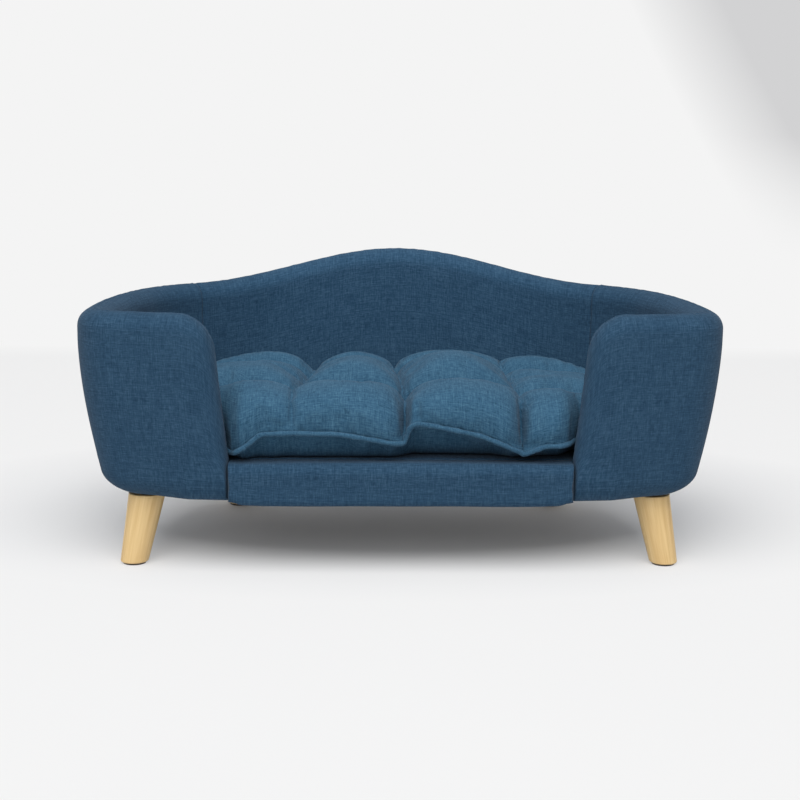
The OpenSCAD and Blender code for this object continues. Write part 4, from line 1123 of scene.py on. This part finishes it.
def seam_loop(count=640):
    """Closed line of the seam, evenly spaced."""
    g = seam_grid
    line = np.concatenate([g[:, 0], g[-1, 1:], g[-2::-1, -1], g[0, -2:0:-1]])
    apart = np.linalg.norm(np.diff(line, axis=0), axis=1) > 1e-6
    closed = np.concatenate([line[:1], line[1:][apart], line[:1]])
    length = lengths(closed, 0)
    at = np.linspace(0, length[-1], count, endpoint=False)
    return np.stack([np.interp(at, length, closed[:, k]) for k in range(3)], 1)


def unit(rows):
    """Rows as directions, one unit long."""
    return rows / np.linalg.norm(rows, axis=1, keepdims=True)


def tube(path, radius, sides=12):
    """Closed tube round a closed line, with flat coordinates along and round it."""
    tangent = unit(np.roll(path, -1, 0) - np.roll(path, 1, 0))
    side = unit(np.cross(tangent, [0.0, 0.0, 1.0]))
    lift = np.cross(side, tangent)
    a = np.linspace(0, 2 * math.pi, sides, endpoint=False)
    ring = np.cos(a)[None, :, None] * side[:, None, :] + np.sin(a)[None, :, None] * lift[:, None, :]
    points = path[:, None, :] + radius[:, None, None] * ring
    faces = grid_faces(len(path), sides, loop_rows=True, loop_cols=True)
    uv = np.stack(np.broadcast_arrays(lengths(path, 0)[:, None], a * radius.mean()), 2)
    return points.reshape(-1, 3), faces, uv.reshape(-1, 2)


def piping_piece():
    """Corded edge sewn into the seam; it swells and thins a little along its run."""
    path = seam_loop()
    for _ in range(3):
        path = (np.roll(path, 1, 0) + path * 2 + np.roll(path, -1, 0)) / 4
    out = unit(np.cross(np.roll(path, -1, 0) - np.roll(path, 1, 0), [0, 0, 1.0]))
    out *= np.sign(((path - path.mean(0)) * out).sum(1).mean())
    turn = np.arange(len(path)) / len(path) * 2 * math.pi
    wander = 0.0004 * np.sin(turn * 37) + 0.0003 * np.sin(turn * 83 + 1)
    path = path + out * (piping_r * piping_out + wander)[:, None]
    radius = piping_r + 0.0002 * np.sin(turn * 61) + 0.00015 * np.sin(turn * 143 + 2)
    points, faces, uv = tube(path, radius)
    piece = make_piece("cushion_piping_cord", points, faces, uv, [piping_linen])
    return outward_first(piece)


piping = piping_piece()
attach(cushion, "cushion")
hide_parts("cushion_top_cover", "cushion_bottom_cover", "cushion_filling")
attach(piping, "cushion")
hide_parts("cushion_piping")


# Repeated small parts, each made by a rule with named sizes
class Rule(Tree):
    """Builds one geometry tree and turns what it makes into a plain mesh."""

    def __init__(self, name, **sockets):
        self.tree = bpy.data.node_groups.new(name, "GeometryNodeTree")
        sides = self.tree.interface
        sides.new_socket("Geometry", in_out="OUTPUT", socket_type="NodeSocketGeometry")
        sides.new_socket("Geometry", in_out="INPUT", socket_type="NodeSocketGeometry")
        self.ids = {socket: sides.new_socket(socket.replace("_", " "), in_out="INPUT",
                                             socket_type="NodeSocket" + kind).identifier
                    for socket, kind in sockets.items()}
        self.inputs = self.tree.nodes.new("NodeGroupInput").outputs

    def vector(self, x=0.0, y=0.0, z=0.0):
        return self.add("ShaderNodeCombineXYZ", {"X": x, "Y": y, "Z": z})

    def times(self, socket, factor):
        return self.maths("MULTIPLY", self.inputs[socket], factor)

    def attribute(self, name, kind):
        return self.add("GeometryNodeInputNamedAttribute", {"Name": name}, data_type=kind)

    def moved(self, shape, **ways):
        return self.add("GeometryNodeTransform", {"Geometry": shape, **ways})

    def joined(self, first, second):
        both = self.add("GeometryNodeJoinGeometry", {"Geometry": first})
        self.tree.links.new(second, both.node.inputs["Geometry"])
        return both

    def on_points(self, points, piece, **ways):
        return self.add("GeometryNodeInstanceOnPoints", {"Points": points, "Instance": piece, **ways})

    def finish(self, shape):
        real = self.add("GeometryNodeRealizeInstances", {"Geometry": shape})
        done = self.add("GeometryNodeSetMaterial", {"Geometry": real, "Material": self.inputs["Material"]})
        self.tree.links.new(done, self.tree.nodes.new("NodeGroupOutput").inputs[0])
        return self

    def make(self, name, points, turns, reaches, **values):
        """Plain mesh of the rule at the points, with a turn and a reach for each."""
        base = make_piece(name + "_places", points, [])
        for key, kind, field, rows in (("turn", "FLOAT_VECTOR", "vector", turns),
                                       ("reach", "FLOAT", "value", reaches)):
            layer = base.data.attributes.new(key, kind, "POINT")
            layer.data.foreach_set(field, np.asarray(rows, np.float32).ravel())
        modifier = base.modifiers.new("rule", "NODES")
        modifier.node_group = self.tree
        for socket, value in values.items():
            modifier[self.ids[socket]] = value
        bpy.context.view_layer.update()
        mesh = bpy.data.meshes.new_from_object(base.evaluated_get(bpy.context.evaluated_depsgraph_get()))
        bpy.data.objects.remove(base)
        mesh.name = name
        return outward_first(add_object(name, mesh))


def bar_rule():
    """Round or flattened bars laid at places, each turned and stretched by its own values."""
    rule = Rule("bars_at_places", Radius="Float", Flatness="Float", Sides="Int", Material="Material")
    size = rule.inputs
    line = rule.add("GeometryNodeCurvePrimitiveLine", {"Start": (-0.5, 0, 0), "End": (0.5, 0, 0)})
    ring = rule.add("GeometryNodeCurvePrimitiveCircle", {"Resolution": size["Sides"],
                                                         "Radius": size["Radius"]})
    bar = rule.add("GeometryNodeCurveToMesh", {"Curve": line, "Profile Curve": ring, "Fill Caps": True})
    bar = rule.moved(bar, Scale=rule.vector(1.0, 1.0, size["Flatness"]))
    turn = rule.add("FunctionNodeEulerToRotation", {"Euler": rule.attribute("turn", "FLOAT_VECTOR")})
    long = rule.vector(rule.attribute("reach", "FLOAT"), 1.0, 1.0)
    return rule.finish(rule.on_points(size["Geometry"], bar, Rotation=turn, Scale=long))


def tooth_rule():
    """Row of zip teeth: a bar with a round head each, set out by turns to both sides."""
    rule = Rule("zip_teeth_row", Count="Int", Pitch="Float", Tooth_Width="Float", Tooth_Depth="Float",
                Tooth_Height="Float", Stagger="Float", Place="Vector", Slope="Float", Material="Material")
    size = rule.inputs
    reach = rule.maths("MULTIPLY", size["Count"], size["Pitch"])
    first = rule.maths("ADD", rule.maths("MULTIPLY", reach, -0.5), rule.times("Tooth Width", 0.5))
    row = rule.add("GeometryNodeMeshLine", {"Count": size["Count"], "Start Location": rule.vector(first),
                                            "Offset": rule.vector(size["Pitch"])}, mode="OFFSET")
    odd = rule.maths("MODULO", rule.add("GeometryNodeInputIndex"), 2.0)
    side = rule.maths("SUBTRACT", rule.maths("MULTIPLY", odd, 2.0), 1.0)
    out = rule.vector(0.0, 0.0, rule.maths("MULTIPLY", side, size["Stagger"]))
    row = rule.add("GeometryNodeSetPosition", {"Geometry": row, "Offset": out})
    block = rule.vector(size["Tooth Width"], size["Tooth Depth"], rule.times("Tooth Height", 0.86))
    bar = rule.add("GeometryNodeMeshCube", {"Size": block})
    head = rule.add("GeometryNodeMeshCylinder", {"Vertices": 10, "Depth": size["Tooth Depth"],
                                                 "Radius": rule.times("Tooth Width", 0.68)})
    head = rule.moved(head, Rotation=(math.pi / 2, 0, 0))
    strip = rule.vector(reach, rule.times("Tooth Depth", 0.5), rule.times("Tooth Height", 0.5))
    core = rule.add("GeometryNodeMeshCube", {"Size": strip})
    core = rule.moved(core, Translation=rule.vector(0.0, rule.times("Tooth Depth", -0.25)))
    whole = rule.joined(rule.on_points(row, rule.joined(bar, head)), core)
    return rule.finish(rule.moved(whole, Translation=size["Place"], Rotation=rule.vector(size["Slope"])))


bars = bar_rule()
# Staples of the dust cloth: length and half thickness of their crowns, and how far in they are
staple_l, staple_r, staple_in, staple_count = 0.010, 0.0006, 0.004, 24
# Threads of the tufts: half thickness, lengths above and below, and their turns where they cross
thread_r, thread_l_top, thread_l_low, thread_turns = 0.0006, 0.010, 0.008, (-0.8, 0.75)


def staples():
    """Staples that hold the dust cloth, along its edge and clear of the legs."""
    first, gap = runs[1] * 0.35, runs[2] / 4
    s = first + gap * np.arange(1, staple_count + 1)
    s = s[s < 2 * runs[5] - first]

    def place(s):
        leaned, n = face_in(near_half(s), under_h, 0)
        return np.stack(plan(s, leaned, n + margin_w / 2 + staple_in), 1)

    here = place(s)
    way = place(s + 0.0002) - here
    tops = np.array([middle_of("bolt_" + name) for name in LEGS])
    clear = np.linalg.norm(here[:, None] - tops[None], axis=2).min(1) > top_r + staple_l
    here, turn = here[clear], np.arctan2(way[clear, 1], way[clear, 0])
    points = np.column_stack([here, np.full(len(here), dust_low - part_gap)])
    piece = bars.make("dust_cloth_staples", points, np.column_stack([0 * turn, 0 * turn, turn]),
                      np.full(len(here), staple_l), Radius=staple_r, Flatness=0.5, Sides=8, Material=steel)
    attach(piece, "sofa")
    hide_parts("cover_staples")


staples()


# Zip on the slope below the rear seam; there w runs across the tape and out stands off the slope
zip_tilt, zip_y, zip_z = math.radians(-33.0262), 0.110601, 0.131151
tape_l, tape_h, tape_low, tape_t = 0.270, 0.013, 0.0003, 0.0008
stitch_pitch, stitch_l, stitch_w = 0.0036, 0.0026, 0.0056


def on_slope(x, out, w):
    """Points of the slope from places along it, off it and across it."""
    c, s = math.cos(zip_tilt), math.sin(zip_tilt)
    return np.stack(np.broadcast_arrays(x, zip_y + out * c - w * s, zip_z + out * s + w * c), -1)


def zip_tape():
    """Woven tape, a little puckered along its two sewn edges."""
    half_l, half_h = tape_l / 2, tape_h / 2
    x, w = np.meshgrid(np.linspace(-half_l, half_l, 240), np.linspace(-half_h, half_h, 17), indexing="ij")
    edge = smooth(np.abs(w), 0.0044, half_h)
    out = tape_low + tape_t + 0.00012 * edge * np.sin(x * 1700 + 1.3 * np.sin(x * 90))
    piece = shell_piece("zip_tape_cloth", on_slope(x, out, w), on_slope(x, tape_low, w),
                        np.stack([x, w], 2), [tape_cloth])
    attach(piece, "cushion")
    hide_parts("zip_tape")


def zip_stitches():
    """Two rows of stitches through the tape's edges."""
    x = np.arange(-tape_l / 2 + stitch_pitch / 2, tape_l / 2, stitch_pitch)
    points = np.concatenate([on_slope(x, tape_low + tape_t + 0.0001, w) for w in (-stitch_w, stitch_w)])
    turns = np.zeros((len(points), 3))
    turns[:, 0] = zip_tilt
    piece = bars.make("zip_tape_stitches", points, turns, np.full(len(points), stitch_l), Radius=0.00028,
                      Flatness=1.0, Sides=6, Material=thread_cloth)
    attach(piece, "cushion")


def zip_teeth():
    piece = tooth_rule().make("zip_teeth_row", [(0, 0, 0)], [(0, 0, 0)], [0], Count=82, Pitch=0.003,
                              Tooth_Width=0.0014, Tooth_Depth=0.0016, Tooth_Height=0.005, Stagger=0.00028,
                              Place=tuple(on_slope(0.0, 0.0019, 0.0).tolist()),
                              Slope=zip_tilt, Material=zip_plastic)
    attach(piece, "cushion")
    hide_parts("zip_teeth")


def tuft_ties():
    """Thread drawn through the cushion at each tuft, crossed over at both ends."""
    co = points_of(cushion.data)
    points, turns, reaches = [], [], []
    for x, y in tufts:
        near = co[np.hypot(co[:, 0] - x, co[:, 1] - y) < 0.004]
        high, low = near[:, 2].max(), near[:, 2].min()
        points.append((x, y, (high + low) / 2))
        turns.append((0, math.pi / 2, 0))
        reaches.append(high - low - 0.001)
        for z, long in ((high + 0.0004, thread_l_top), (low - 0.0005, thread_l_low)):
            for turn in thread_turns:
                points.append((x, y, z))
                turns.append((0, 0, turn))
                reaches.append(long)
    piece = bars.make("tuft_threads", points, turns, reaches, Radius=thread_r, Flatness=1.0, Sides=8,
                      Material=thread_cloth)
    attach(piece, "cushion")
    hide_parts("tuft_ties")


zip_tape()
zip_stitches()
zip_teeth()
tuft_ties()


# Carried-over parts
for name in ("bottom_panel", "deck_panel", "wall_board_left", "wall_board_back", "wall_board_right"):
    dress(name, ply)
for name in ("front_rail", "back_rail"):
    dress(name, frame_pine)
for name in ("side_rail_left", "side_rail_right", "centre_brace", "corner_blocks"):
    dress(name, side_pine)
for name in ("frame_screws", "tee_nuts"):
    dress(name, steel)
dress("zip_slider", bright_metal)
dress("zip_pull", bright_metal)


# Studio
# Half width, half depth and middle of the floor round the shadow, which shows as paint lightened a little by
# the glow as painted light
paint_half_w, paint_half_d, paint_y = 0.38, 0.24, 0.14
# The glow grows between these multiples of that size, from the first share to the second, and to
# the whole further back, between these depths
glow_reach, glow_shares, glow_behind = (0.95, 1.75), (0.06, 0.82), (0.55, 1.45)
# How much a place's height counts along the slant of the backdrop's grey shade, and where the
# shade starts and is full, along the slant and by height
shade_slant, shade_across, shade_up = 0.45, (1.02, 1.28), (0.12, 0.42)


def floor_paint():
    """Pale paint that takes the object's shadow; the backdrop behind it shows as written."""
    m = Nodes("floor_paint", 0.95, 0.0)
    paint = m.ramp(m.even_noise(3), (0.2, (218, 218, 219)), (0.8, (222, 222, 222)))
    m.tree.links.new(paint, m.shader.inputs["Base Color"])
    x, y, z = m.node("ShaderNodeSeparateXYZ", {"Vector": m.coords("Object")}).outputs
    # a soft grey shade lies over the backdrop's upper right, below a pale band
    slant = m.maths("ADD", x, m.maths("MULTIPLY", z, shade_slant))
    shade = m.maths("MULTIPLY", m.spread(slant, *shade_across), m.spread(z, *shade_up))
    colour = m.ramp(shade, (0.0, (244, 244, 244)), (1.0, (210, 210, 211)))
    glow = m.add("ShaderNodeEmission", {"Color": colour, "Strength": 1.0})
    path = m.node("ShaderNodeLightPath").outputs
    seen = m.maths("MAXIMUM", *(path[f"Is {kind} Ray"] for kind in ("Camera", "Glossy", "Transmission")))
    # under the sofa the floor is paint with its shadow, lightened by a small share of glow as painted light,
    # and further out it goes over to the glow, which fades the shadow away
    across = m.maths("DIVIDE", x, paint_half_w)
    along = m.maths("DIVIDE", m.maths("SUBTRACT", y, paint_y), paint_half_d)
    squares = m.maths("ADD", m.maths("MULTIPLY", across, across), m.maths("MULTIPLY", along, along))
    near = m.spread(m.maths("SQRT", squares), *glow_reach, *glow_shares)
    share = m.maths("MULTIPLY", seen, m.maths("MAXIMUM", near, m.spread(y, *glow_behind)))
    mix = m.add("ShaderNodeMixShader", {0: share, 1: m.shader.outputs[0], 2: glow})
    m.tree.links.new(mix, m.tree.nodes["Material Output"].inputs["Surface"])
    return m.mat


def backdrop():
    """Pale floor that rises into a backdrop through a wide sweep."""
    reach, front, behind, sweep, tall = 3.2, -3.5, 1.5, 1.2, 3.2
    a = np.radians(np.linspace(0, 90, 16))
    ys = np.concatenate([[front, behind], behind + sweep * np.sin(a[1:]), [behind + sweep]])
    zs = np.concatenate([[0, 0], sweep * (1 - np.cos(a[1:])), [tall]])
    points = [(x, y, z) for x in (-reach, reach) for y, z in zip(ys, zs)]
    count = len(ys)
    faces = [(k, count + k, count + k + 1, k + 1) for k in range(count - 1)]
    make_piece("studio_floor", points, faces, None, [floor_paint()])


def lamp(name, place, aim, size, energy):
    """Soft white box at a place, turned towards its aim."""
    data = bpy.data.lights.new(name, "AREA")
    data.shape, data.energy = "RECTANGLE", energy
    data.size, data.size_y = size
    obj = add_object(name, data)
    obj.location = place
    obj.rotation_euler = (Vector(aim) - Vector(place)).to_track_quat("-Z", "Y").to_euler()


def studio():
    """Pale surroundings, the backdrop and two soft boxes."""
    world = bpy.data.worlds.new("studio")
    bpy.context.scene.world = world
    world.use_nodes = True
    back = world.node_tree.nodes["Background"]
    back.inputs["Color"].default_value = (0.95, 0.97, 1.0, 1)
    back.inputs["Strength"].default_value = 0.44
    backdrop()
    lamp("top_box", place=(-0.1, -1.3, 3.0), aim=(0, 0, 0.1), size=(3.6, 2.4), energy=92)
    lamp("front_box", place=(-0.7, -3.4, 2.4), aim=(0, 0, 0.15), size=(2.6, 1.8), energy=38)


# Camera: the photo's width, focal length and middle in pixels, then its place, turns and sensor
photo_px, focal_px, middle_px = 800, 1592, 398.3
camera_place, sensor_w = (-0.0385, -1.8301, 0.500), 36.0
yaw, pitch, roll = (math.radians(a) for a in (1.2, 10.6, 0.45))


def camera():
    """Camera at the photograph's viewing angle."""
    data = bpy.data.cameras.new("view")
    data.sensor_width, data.lens = sensor_w, sensor_w * focal_px / photo_px
    data.shift_x = (photo_px / 2 - middle_px) / photo_px
    obj = add_object("view", data)
    turn = (Matrix.Rotation(-yaw, 4, "Z") @ Matrix.Rotation(math.pi / 2 - pitch, 4, "X")
            @ Matrix.Rotation(roll, 4, "Z"))
    obj.matrix_world = Matrix.Translation(camera_place) @ turn
    bpy.context.scene.camera = obj


studio()
camera()
bpy.context.scene.view_settings.view_transform = "Standard"
